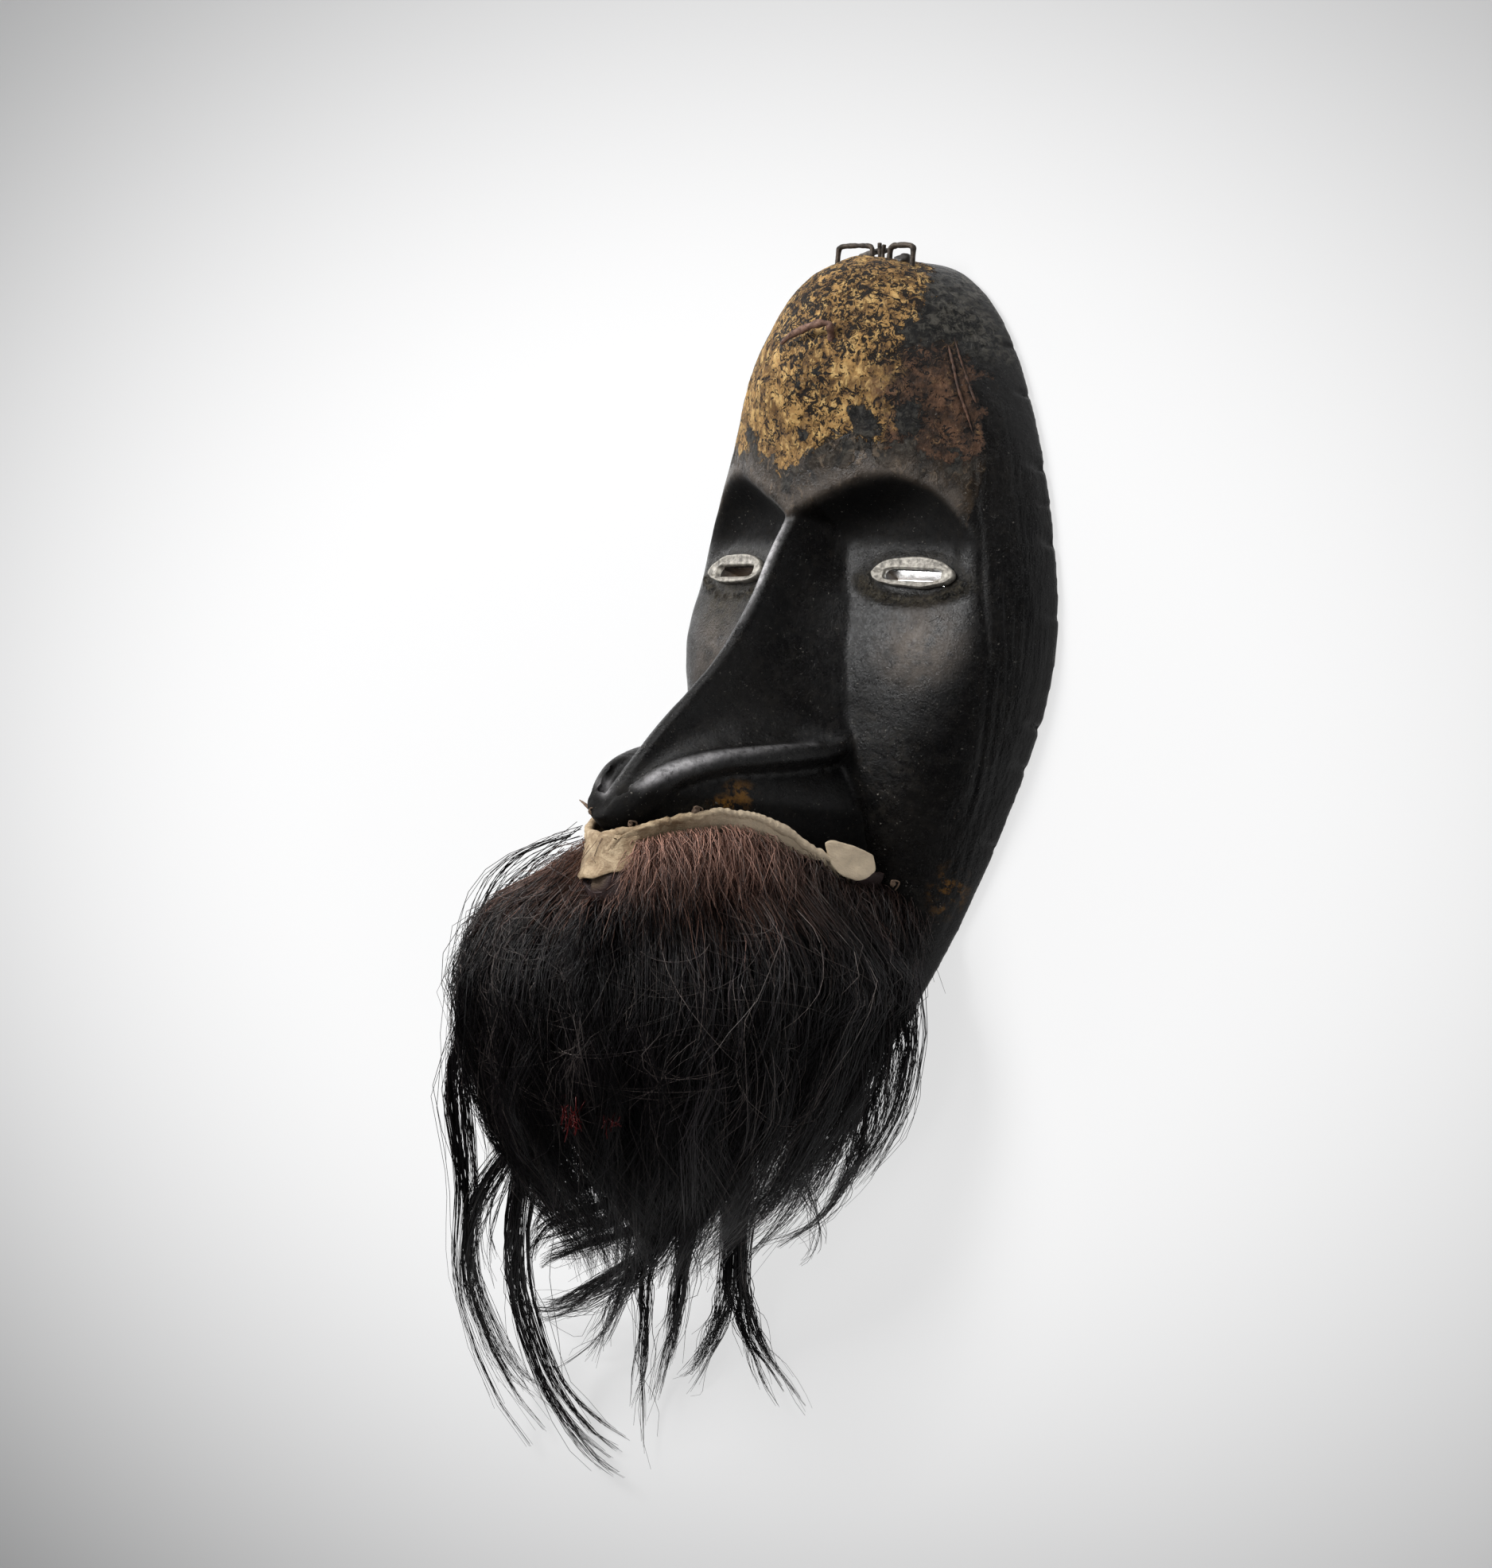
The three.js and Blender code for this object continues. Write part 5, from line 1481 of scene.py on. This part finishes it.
# Thin see-through fringes beside the mass, in the same form.
FRINGES = [
    (9, 15, [
        (-14, -54, 104), (-38, -60, 101), (-56, -72, 98), (-67, -90, 93), (-74, -112, 89),
        (-76, -134, 84), (-78, -148, 78), (-82, -160, 70),
    ]),
    (10, 17, [
        (-20, -56, 100), (-46, -68, 96), (-62, -84, 92), (-71, -104, 88), (-74, -124, 84),
        (-73.5, -142, 76), (-79, -158, 68),
    ]),
    (7, 26, [
        (-42.4, -120, 78), (-55, -138, 75), (-75.2, -158.5, 68), (-88, -174, 59), (-94, -190, 48),
    ]),
    (6, 44, [
        (42, -84, 24), (44, -97, 22), (43.5, -109, 20), (35, -124.7, 15), (21, -139.1, 10),
        (5, -151.1, 6), (-16, -164.7, 3),
    ]),
    (6, 44, [
        (38, -86, 30), (41, -98, 28), (39, -112, 25), (30, -130, 18), (13.1, -144.5, 11),
        (-8.3, -158.8, 5),
    ]),
    (8, 34, [
        (38, -96, 38), (38, -110, 36), (31.2, -126.1, 30), (10.1, -147.5, 20), (-15.9, -163.9, 9),
    ]),
    (6, 34, [
        (39, -84, 26), (43, -100, 22), (42, -112, 20), (33.7, -127.3, 15), (16, -141.9, 9),
        (-3.9, -154.7, 4),
    ]),
    (5, 12, [(4, -140, 24), (6, -156, 14), (0, -168, 8), (-16, -176, 4)]),
    (3, 60, [
        (-18.8, -158.1, 50), (-30.3, -165.1, 51), (-46, -169.7, 51), (-64.3, -174.8, 50),
        (-78.2, -180.3, 48),
    ]),
    (4, 90, [
        (-14.1, -155.6, 42), (-21.6, -162.6, 43), (-32, -170.4, 43), (-45.3, -178.2, 43),
        (-59.8, -185.6, 42), (-70.8, -190.8, 42), (-82.3, -193.3, 42),
    ]),
    (3, 50, [
        (-21.8, -153.2, 58), (-35.1, -158.9, 60), (-50.9, -163.3, 60), (-63.2, -169.3, 58),
        (-71.1, -176.3, 55), (-75.1, -181.2, 52),
    ]),
    (3, 42, [
        (-23.3, -157.8, 56), (-35, -163.4, 57), (-50.7, -168.3, 57), (-65.9, -173.6, 55),
        (-75.4, -179.3, 52),
    ]),
    (2.5, 36, [
        (-29.2, -150.4, 64), (-41.4, -155.1, 66), (-51, -159.9, 66), (-60.9, -166.6, 63),
        (-68.3, -172.5, 58),
    ]),
    (2, 12, [(-40.5, -175.3, 44), (-56.5, -183.9, 42), (-69.4, -189, 41), (-84.5, -190, 41)]),
    (2, 14, [(-37.4, -186.6, 8), (-41.9, -194.4, 6), (-48.9, -203.9, 4), (-59.9, -211.8, 3)]),
    (5, 14, [(-30, -150, 60), (-44, -166, 50), (-62, -172, 42), (-80, -172, 36)]),
    (5, 14, [(-22, -152, 56), (-40, -160, 50), (-58, -164, 44), (-78, -164, 40)]),
]


def lock_ways(rng, thickness, hairs, way, steps):
    """Hairs of one lock in a few strings: together at the root, apart in the middle, loose at the tip."""
    line = spline(way, steps)
    first, second = frames_along(line[None])
    t = np.linspace(0, 1, steps)
    strings = max(5, round(thickness * 1.5))
    owner = rng.integers(0, strings, hairs)
    turn = rng.uniform(0, 2 * math.pi, strings)
    out = rng.uniform(0.25, 1.15, strings) * thickness / 2
    twist = rng.normal(0.5, 0.7, strings)
    spread = 1.1 - 0.45 * smoothstep(t * 1.4) + 3.2 * np.maximum(t - 0.5, 0) ** 1.5
    angle = turn[:, None] + twist[:, None] * t[None]
    reach = out[:, None] * spread[None]
    string_ways = line[None] + (reach * np.cos(angle))[:, :, None] * first
    string_ways = string_ways + (reach * np.sin(angle))[:, :, None] * second
    string_ways = string_ways + strand_noise(rng, strings, steps, 0.9)
    own_turn = rng.uniform(0, 2 * math.pi, (hairs, 1))
    own_spread = 1.15 - 0.75 * smoothstep(t * 1.5) + 0.9 * np.maximum(t - 0.65, 0)
    own = np.abs(rng.normal(0, 0.8, (hairs, 1))) * own_spread[None]
    bundle = string_ways[owner] + (own * np.cos(own_turn))[:, :, None] * first
    bundle = bundle + (own * np.sin(own_turn))[:, :, None] * second
    wild = np.where(rng.random((hairs, 1, 1)) < 0.2, rng.uniform(2, 9, (hairs, 1, 1)), 1.0)
    bundle += strand_noise(rng, hairs, steps, 0.28) * wild
    shorter = rng.uniform(0.62, 1.0, strings)[owner] * rng.uniform(0.86, 1.0, hairs)
    index = shorter[:, None] * t[None] * (steps - 1)
    low = np.clip(index.astype(int), 0, steps - 2)
    part = (index - low)[:, :, None]
    each = np.arange(hairs)[:, None]
    return bundle[each, low] * (1 - part) + bundle[each, low + 1] * part


def lock_piece(name, seed, rows, steps, dense):
    """All the hairs of several locks."""
    rng = np.random.default_rng(seed)
    all_ways, all_sizes = [], []
    for thickness, hairs, way in rows:
        all_ways.append(lock_ways(rng, thickness, int(hairs * dense), way, steps))
        all_sizes.append(hair_radii(rng, all_ways[-1], 0.125, 0.045, 0.75, power=1.8))
    ways = np.concatenate(all_ways)
    ways[:, :, 2] = np.maximum(ways[:, :, 2], 0.3)
    return tubes(name, ways, np.concatenate(all_sizes), HAIR_SIDES, hair_colours(rng, ways, 0.0, 0.03))


def flyaway_piece(name, seed, count):
    """Loose single hairs that leave the outline, most of them at camera-left and near the skin."""
    rng = np.random.default_rng(seed)
    steps = 10
    at_left = rng.random(count) < 0.6
    turn = np.where(at_left, rng.normal(0.1, 0.45, count), rng.uniform(0, 2 * math.pi, count))
    near_skin = rng.random(count) < 0.45
    high = rng.uniform(-72, MASS_TOP, count)
    y0 = np.where(near_skin, high, rng.uniform(MASS_BOTTOM + 22, MASS_TOP - 14, count))
    y1 = np.maximum(y0 - rng.uniform(14, 56, count), MASS_BOTTOM - 8)
    t = np.linspace(0, 1, steps)[None]
    y = y0[:, None] + (y1 - y0)[:, None] * t
    turns = turn[:, None] + rng.normal(0, 0.4, (count, 1)) * t
    reach = 0.96 + rng.uniform(0.0, 0.1, (count, 1)) * t ** 1.2
    reach = reach * (1 + (spring(y, turns) - 1) * rng.uniform(0.9, 1.7, (count, 1)))
    ways = mass_point(y, turns, reach, 0) + strand_noise(rng, count, steps, 2.0)
    ways[:, :, 2] = np.maximum(ways[:, :, 2], HAIR_FLOOR)
    size = hair_radii(rng, ways, 0.1, 0.035, 0.8)
    return tubes(name, ways, size, HAIR_SIDES, hair_colours(rng, ways, 0.4, 0.25) * 1.3)


def front_fur(name, seed, count):
    """Fine hairs that fall over the near end of the bare scrap of skin."""
    rng = np.random.default_rng(seed)
    steps = 5
    x = 14.5 - np.abs(rng.normal(0, 1.9, count))
    root = np.stack([x, rng.uniform(-66, -54.5, count), 110.0 - APRON_BEND * x * x], axis=1)
    hang = [rng.normal(0.1, 0.3, count), np.full(count, -1.0), rng.normal(0.12, 0.16, count)]
    hang = np.stack(hang, axis=1)
    t = np.linspace(0, 1, steps)[None, :, None]
    ways = root[:, None] + hang[:, None] * rng.uniform(5, 16, (count, 1, 1)) * t
    ways += strand_noise(rng, count, steps, 0.6)
    size = hair_radii(rng, ways, 0.11, 0.04, 0.8)
    return tubes(name, ways, size, HAIR_SIDES, hair_colours(rng, ways, 1.0))


def crossing_hairs(name, seed, count):
    """Fine pale hairs that curl across the front of the mass."""
    rng = np.random.default_rng(seed)
    steps = 9
    t = np.linspace(0, 1, steps)[None]
    heading = rng.normal(0, 0.8, (count, 1)) + rng.normal(0, 1.7, (count, 1)) * t
    stride = rng.uniform(14, 52, (count, 1)) / (steps - 1)
    y = np.minimum(rng.uniform(-122, -64, (count, 1)) - np.cumsum(np.cos(heading) * stride, axis=1), -58)
    turn = rng.uniform(0.1, 2.2, (count, 1)) + np.cumsum(np.sin(heading) * stride, axis=1) / 45
    reach = (1.0 + rng.uniform(0, 0.035, (count, 1))) * spring(y, turn)
    ways = mass_point(y, turn, reach, RIDGES)
    size = hair_radii(rng, ways, 0.085, 0.045, 0.8)
    shade = rng.lognormal(-0.25, 0.6, (count, 1, 1))
    return tubes(name, ways, size, HAIR_SIDES, np.tile(GREY, (count, steps, 1)) * shade)


def tuft_piece(name, seed, places):
    """Small knots of red fibre caught in the hair: each place is a height and an angle round the mass."""
    rng = np.random.default_rng(seed)
    hairs, steps = 16, 5
    t = np.linspace(-1, 1, steps)[None, :, None]
    ways = []
    for y, turn in places:
        root = mass_point(y, turn, 1.0)
        ends = rng.normal(0, 1, (hairs, 3)) * np.array([1.6, 2.2, 0.8])
        middle = root + rng.normal(0, 0.8, (hairs, 1, 3))
        ways.append(middle + ends[:, None] * t + rng.normal(0, 0.3, (hairs, steps, 3)))
    ways = np.concatenate(ways)
    colours = np.tile(RED, (*ways.shape[:2], 1)) * rng.uniform(0.4, 1.2, (len(ways), 1, 1))
    return tubes(name, ways, np.full(ways.shape[:2], 0.22), HAIR_SIDES, colours)


def lump(name, centre, radius, squash, seed):
    """A small uneven ball."""
    bpy.ops.mesh.primitive_ico_sphere_add(subdivisions=3, radius=1)
    piece = bpy.context.object
    piece.name = name
    p = np.array([tuple(v.co) for v in piece.data.vertices])
    swell = np.array([1 + 0.35 * noise.noise(Vector(q) * 1.7 + Vector((seed, 0, seed))) for q in p])
    set_coordinates(piece, np.array(centre) + p * swell[:, None] * radius * np.array(squash))
    smooth(piece)
    return piece


def joined(name, pieces):
    """Makes several pieces one."""
    only(pieces[0])
    for piece in pieces[1:]:
        piece.select_set(True)
    bpy.ops.object.join()
    bpy.context.object.name = name
    return bpy.context.object


def plain_material(name, colour, roughness, scale=500.0, darker=0.5):
    """One colour in two tones, with a slight bump."""
    n = Nodes(name)
    patch = n.noise(scale, 6, 0.65)
    shade = n.mix(n.span(patch, 0.35, 0.65), rgb(*(v * darker for v in colour)), rgb(*colour))
    return n.shade(Base_Color=shade, Roughness=roughness, Normal=n.bump(patch, 0.6, 0.0003))


class WoodSettings(bpy.types.PropertyGroup):
    voxel: bpy.props.FloatProperty(
        name="Carving detail", description="Finest size of the carved surface in millimetres",
        default=0.94, min=0.7, max=2.0)


class HairSettings(bpy.types.PropertyGroup):
    clumps: bpy.props.IntProperty(
        name="Clumps", description="Clumps in the top layer of long hair, which the other layers follow",
        default=150, min=10, max=160)
    hairs: bpy.props.IntProperty(
        name="Hairs in a clump", description="Hairs that make one clump", default=24, min=4, max=40)
    fur: bpy.props.IntProperty(
        name="Short hairs", description="Short brown hairs below the skin's edge",
        default=4500, min=100, max=6000)


class StageSettings(bpy.types.PropertyGroup):
    distance: bpy.props.FloatProperty(
        name="Camera distance", description="From the middle of the rim", default=2.2, unit="LENGTH")
    scale: bpy.props.FloatProperty(
        name="Picture scale", description="Pixels for each millimetre at the rim", default=4.3)


class MASK_OT_wood(bpy.types.Operator):
    """Carve the wooden mask with its beak, brows, grooves and worn forehead"""

    bl_idname = "mask.wood"
    bl_label = "Carved wood"

    def execute(self, context):
        wood = build_wood(context.scene.mask_wood.voxel)
        finish_piece(wood, "carved_wood", "wooden_mask")
        return {"FINISHED"}


class MASK_OT_eye_rims(bpy.types.Operator):
    """Add the two dented metal rims of the eye slits"""

    bl_idname = "mask.eye_rims"
    bl_label = "Eye rims"

    def execute(self, context):
        dark, pale = rgb(0.12, 0.11, 0.095), rgb(0.43, 0.4, 0.345)
        finish = metal_material("eye_metal", dark, pale, 0.42, 0.65, 0.15)
        for side, node in ((1, "eye_ring_left"), (-1, "eye_ring_right")):
            rim = eye_rim(side)
            rim.data.materials.append(finish)
            finish_piece(rim, "eye_metal", node)
        return {"FINISHED"}


class MASK_OT_irons(bpy.types.Operator):
    """Add the staples, twig, spikes and resin of the crown, the bent nail and the scored lines"""

    bl_idname = "mask.irons"
    bl_label = "Iron fittings"

    def execute(self, context):
        dark, pale = rgb(0.012, 0.009, 0.007), rgb(0.07, 0.052, 0.038)
        iron = metal_material("old_iron", dark, pale, 0.5, 0.75, 0.5)
        dark, pale = rgb(0.05, 0.022, 0.015), rgb(0.2, 0.105, 0.07)
        rust = metal_material("rusty_iron", dark, pale, 0.55, 0.8, 0.25)
        twig_wood = plain_material("grey_twig", (0.13, 0.115, 0.1), 0.8)
        staple_z = 17
        left = wire("staple_left", staple_way(8.6, staple_z, 9.5, 3.4), 0.9, 60, 10, seed=3.0)
        right = wire("staple_right", staple_way(-10.5, staple_z, 14, 3.5), 0.8, 60, 10, seed=8.0)
        foot = crown_height(0.4, staple_z)
        spikes = []
        for name, radius, seed, way in (
            ("spike_a", 0.75, 1.0, [(-0.1, -6, 0), (-0.1, 0, 0), (-0.4, 2.4, 0.1), (-0.5, 4.4, 0.3)]),
            ("spike_b", 0.65, 2.0, [(1.0, -6, 0), (1.0, 0, 0), (1.3, 2.2, 0.2), (1.6, 3.8, 0.4)]),
        ):
            way = [(x, foot + up, staple_z + out) for x, up, out in way]
            spikes.append(wire(name, way, radius, 18, 8, seed=seed))
        spike = joined("crown_spikes", spikes)
        nail_way = [
            (-4.5, 93.2, 49.5), (-1, 95.3, 50), (3.5, 97.3, 49.3), (8, 98.9, 48.6),
            (11.2, 99.2, 47), (11.2, 97, 45.4), (9, 92, 42),
        ]
        nail = wire(
            "forehead_nail_bent", nail_way, 1.25, 44, 12, 0.2, 0.8, 5.0,
            lambda t: np.clip(0.55 + 1.6 * t, 0.5, 1.0))
        twig_way = [(-12.5, 122.6, 14.2), (-8, 124.2, 14.5), (-3, 125.0, 14.6), (0.5, 125.2, 14.4)]
        twig = wire("crown_twig", twig_way, 0.95, 30, 8, 0.3, seed=6.0)
        scored = joined("scored_lines", [
            wire(
                f"scored_{k}", [(a + 0.25, b, c + 0.25) for a, b, c in line], 0.42, 70, 6, 0.35,
                seed=k * 4.0, taper=lambda t: np.minimum(1, 6 * t * (1 - t)) + 0.15)
            for k, line in enumerate(SCORED_LINES)
        ])
        score_red = plain_material("scored_red", (0.095, 0.04, 0.019), 0.7, 420.0, 0.3)
        plug = lump("crown_resin", (8.4, 121.6, 15.5), 2.6, (1.25, 0.9, 1), 4.0)
        resin = plain_material("dark_resin", (0.02, 0.015, 0.012), 0.5)
        for piece, finish, slot, nodes in (
            (left, iron, "iron", ["crown_staple_left"]),
            (right, iron, "iron", ["crown_staple_right"]),
            (spike, iron, "iron", ["crown_nail"]),
            (nail, rust, "rusty_iron", ["forehead_nail"]),
            (twig, twig_wood, "carved_wood", []),
            (plug, resin, "carved_wood", []),
            (scored, score_red, "carved_wood", []),
        ):
            piece.data.materials.append(finish)
            finish_piece(piece, slot, *nodes)
        return {"FINISHED"}


class MASK_OT_hide(bpy.types.Operator):
    """Wrap the dried skin round the jaw, with its folded corner, bare scrap, knots and splinter"""

    bl_idname = "mask.hide"
    bl_label = "Hide band"

    def execute(self, context):
        for piece in (build_hide(), build_flap(), build_apron()):
            finish_piece(piece, "black_fur")
        knots = []
        for k, (x, y, z, r) in enumerate(KNOTS):
            knots.append(lump(f"knot_{k}", (x, y, z), r, (1, 1.15, 1), k * 2.3))
            tail = [
                (x, y, z), (x + 0.8, y + r, z + 1.2), (x + 1.2, y + r * 0.6, z - 1.5),
                (x - 1, y - 2, z - 2),
            ]
            knots.append(wire(f"knot_tail_{k}", tail, 0.28, 12, 6, seed=k))
        splinter_way = [(-6.5, -48, 102), (-8.5, -46.8, 104), (-11, -45.2, 104.6), (-13.8, -44.2, 104)]
        knots.append(wire(
            "splinter", splinter_way, 0.7, 16, 8, 0.3, seed=2.0, taper=lambda t: 1.1 - 0.85 * t))
        cord = joined("binding_knots", knots)
        cord.data.materials.append(plain_material("knot_fibre", (0.2, 0.13, 0.085), 0.8))
        finish_piece(cord, "black_fur")
        return {"FINISHED"}


class MASK_OT_beard(bpy.types.Operator):
    """Grow the beard: packed mass, long coat, short fur, locks, fringes, loose and crossing hairs"""

    bl_idname = "mask.beard"
    bl_label = "Fur beard"

    def execute(self, context):
        settings = context.scene.mask_hair
        clumps, hairs = settings.clumps, settings.hairs
        long_hair = hair_material()
        under = build_under_hair()
        finish_piece(under, "black_fur", "fur_beard")
        pieces = [
            coat_piece("coat_deep", 11, int(clumps * 0.68), hairs, 7, 0.7, 0.05, 0.02),
            coat_piece("coat_top", 12, clumps, hairs, 9, 1.0, 0.14, 0.06),
            coat_piece("coat_loose", 17, int(clumps * 0.6), hairs // 2, 12, 1.0, 0.8, 0.34, 0.11),
            short_fur("short_fur", 13, settings.fur),
            lock_piece("locks", 14, LOCKS, 14, 0.7),
            lock_piece("fringes", 15, FRINGES, 13, 1.3),
            flyaway_piece("loose_hairs", 16, 620),
            front_fur("front_fur", 19, 420),
            crossing_hairs("crossing_hairs", 20, 190),
            tuft_piece("red_fibres", 18, ((-133, 1.08), (-135, 1.12), (-134, 1.3))),
        ]
        for piece in pieces:
            piece.data.materials.append(long_hair)
            finish_piece(piece, "black_fur")
        return {"FINISHED"}


def soft_light(name, target, direction, away, size, power):
    """A rectangle of light that faces its target."""
    lamp = bpy.data.lights.new(name, "AREA")
    lamp.shape = "RECTANGLE"
    lamp.size, lamp.size_y = size
    lamp.energy = power
    place = target + direction.normalized() * away
    facing = (place - target).to_track_quat("Z", "Y").to_matrix().to_4x4()
    linked(name, lamp).matrix_world = Matrix.Translation(place) @ facing


def camera_at(eye, ahead, up, lens):
    """The picture's camera, square to its way ahead."""
    camera = bpy.data.cameras.new("camera")
    camera.sensor_fit = "VERTICAL"
    camera.sensor_height = SENSOR
    camera.sensor_width = SENSOR
    camera.lens = lens
    camera.clip_start, camera.clip_end = 0.05, 50
    side = ahead.cross(up).normalized()
    axes = zip(side, side.cross(ahead), -ahead, eye)
    holder = linked("camera", camera)
    holder.matrix_world = Matrix((*axes, (0, 0, 0, 1)))
    return holder


class MASK_OT_stage(bpy.types.Operator):
    """Set the pale floor, the soft lights and the camera"""

    bl_idname = "mask.stage"
    bl_label = "Stage"

    def execute(self, context):
        scene = context.scene
        distance, scale = scene.mask_stage.distance, scene.mask_stage.scale
        bpy.ops.mesh.primitive_plane_add(size=12, location=(0, 0, -0.0005))
        floor = bpy.context.object
        floor.name = "floor"
        turn, rise, roll = (math.radians(angle) for angle in (VIEW_TURN, VIEW_RISE, VIEW_ROLL))
        back = Vector((math.sin(turn) * math.cos(rise), math.sin(rise), math.cos(turn) * math.cos(rise)))
        level = Vector((math.cos(turn), 0, -math.sin(turn)))
        upright = back.cross(level)
        right = level * math.cos(roll) + upright * math.sin(roll)
        up = upright * math.cos(roll) - level * math.sin(roll)
        half_width_px, half_height_px = PICTURE_WIDTH // 2, PICTURE_HEIGHT // 2
        aim = (right * (half_width_px - RIM_AT_X) - up * (half_height_px - RIM_AT_Y)) / scale * MM
        half_frame = half_height_px / scale * MM
        paper = backdrop_material(ORIGIN + aim, right / half_frame, up * 1.2 / half_frame)
        floor.data.materials.append(paper)

        eye = ORIGIN + back * distance
        ahead = (ORIGIN + aim - eye).normalized()
        scene.camera = camera_at(eye, ahead, up, scale * distance * 1000 * SENSOR / PICTURE_HEIGHT)
        scene.view_settings.view_transform = "Standard"
        scene.view_settings.look = "None"
        studio = bpy.data.worlds.new("studio")
        studio.use_nodes = True
        background = studio.node_tree.nodes["Background"]
        background.inputs["Color"].default_value = (0.93, 0.95, 1.0, 1)
        background.inputs["Strength"].default_value = 0.12
        scene.world = studio

        middle = ORIGIN + Vector((0, -0.02, 0.04))
        for name, direction, away, size, power in (
            ("key", back * 0.42 + up * 0.54 - right * 0.74, 1.3, (0.5, 0.5), 20),
            ("back", up * 0.45 - right * 0.7 - back * 0.56, 1.3, (0.6, 0.22), 5.5),
            ("top", Vector((-0.05, 1.2, 0.2)), 1.2, (1.0, 0.36), 6),
            ("front", back * 0.88 + up * 0.3 - right * 0.35, 1.9, (0.8, 0.8), 3.2),
            ("overhead", Vector((0.15, 0.1, 1)), 2.0, (0.7, 0.7), 3),
        ):
            soft_light(name, middle, direction, away, size, power)

        # A small lamp inside the shell brightens the near eye slit.
        glow = bpy.data.lights.new("slit_glow", "AREA")
        glow.size = 0.03
        glow.energy = 0.5
        linked("slit_glow", glow).location = world([8, 18, 14]).tolist()
        return {"FINISHED"}


class MASK_PT_panel(bpy.types.Panel):
    """Lists the steps that build the mask"""

    bl_label = "Beaked mask"
    bl_idname = "MASK_PT_panel"
    bl_space_type = "VIEW_3D"
    bl_region_type = "UI"
    bl_category = "Mask"

    def draw(self, context):
        column = self.layout.column()
        column.prop(context.scene.mask_wood, "voxel")
        for key in ("clumps", "hairs", "fur"):
            column.prop(context.scene.mask_hair, key)
        for key in ("distance", "scale"):
            column.prop(context.scene.mask_stage, key)
        for step in STEPS:
            column.operator(step.bl_idname)


STEPS = (MASK_OT_wood, MASK_OT_eye_rims, MASK_OT_irons, MASK_OT_hide, MASK_OT_beard, MASK_OT_stage)
SETTINGS = (("mask_wood", WoodSettings), ("mask_hair", HairSettings), ("mask_stage", StageSettings))


def register():
    for key, group in SETTINGS:
        bpy.utils.register_class(group)
        setattr(bpy.types.Scene, key, bpy.props.PointerProperty(type=group))
    for item in (*STEPS, MASK_PT_panel):
        bpy.utils.register_class(item)


def unregister():
    for item in (MASK_PT_panel, *STEPS[::-1]):
        bpy.utils.unregister_class(item)
    for key, group in SETTINGS[::-1]:
        delattr(bpy.types.Scene, key)
        bpy.utils.unregister_class(group)


def main():
    register()
    bpy.ops.object.select_all(action="DESELECT")
    bpy.ops.mask.stage()
    bpy.ops.mask.wood()
    bpy.ops.mask.eye_rims()
    bpy.ops.mask.irons()
    bpy.ops.mask.hide()
    bpy.ops.mask.beard()


if __name__ == "__main__":
    main()
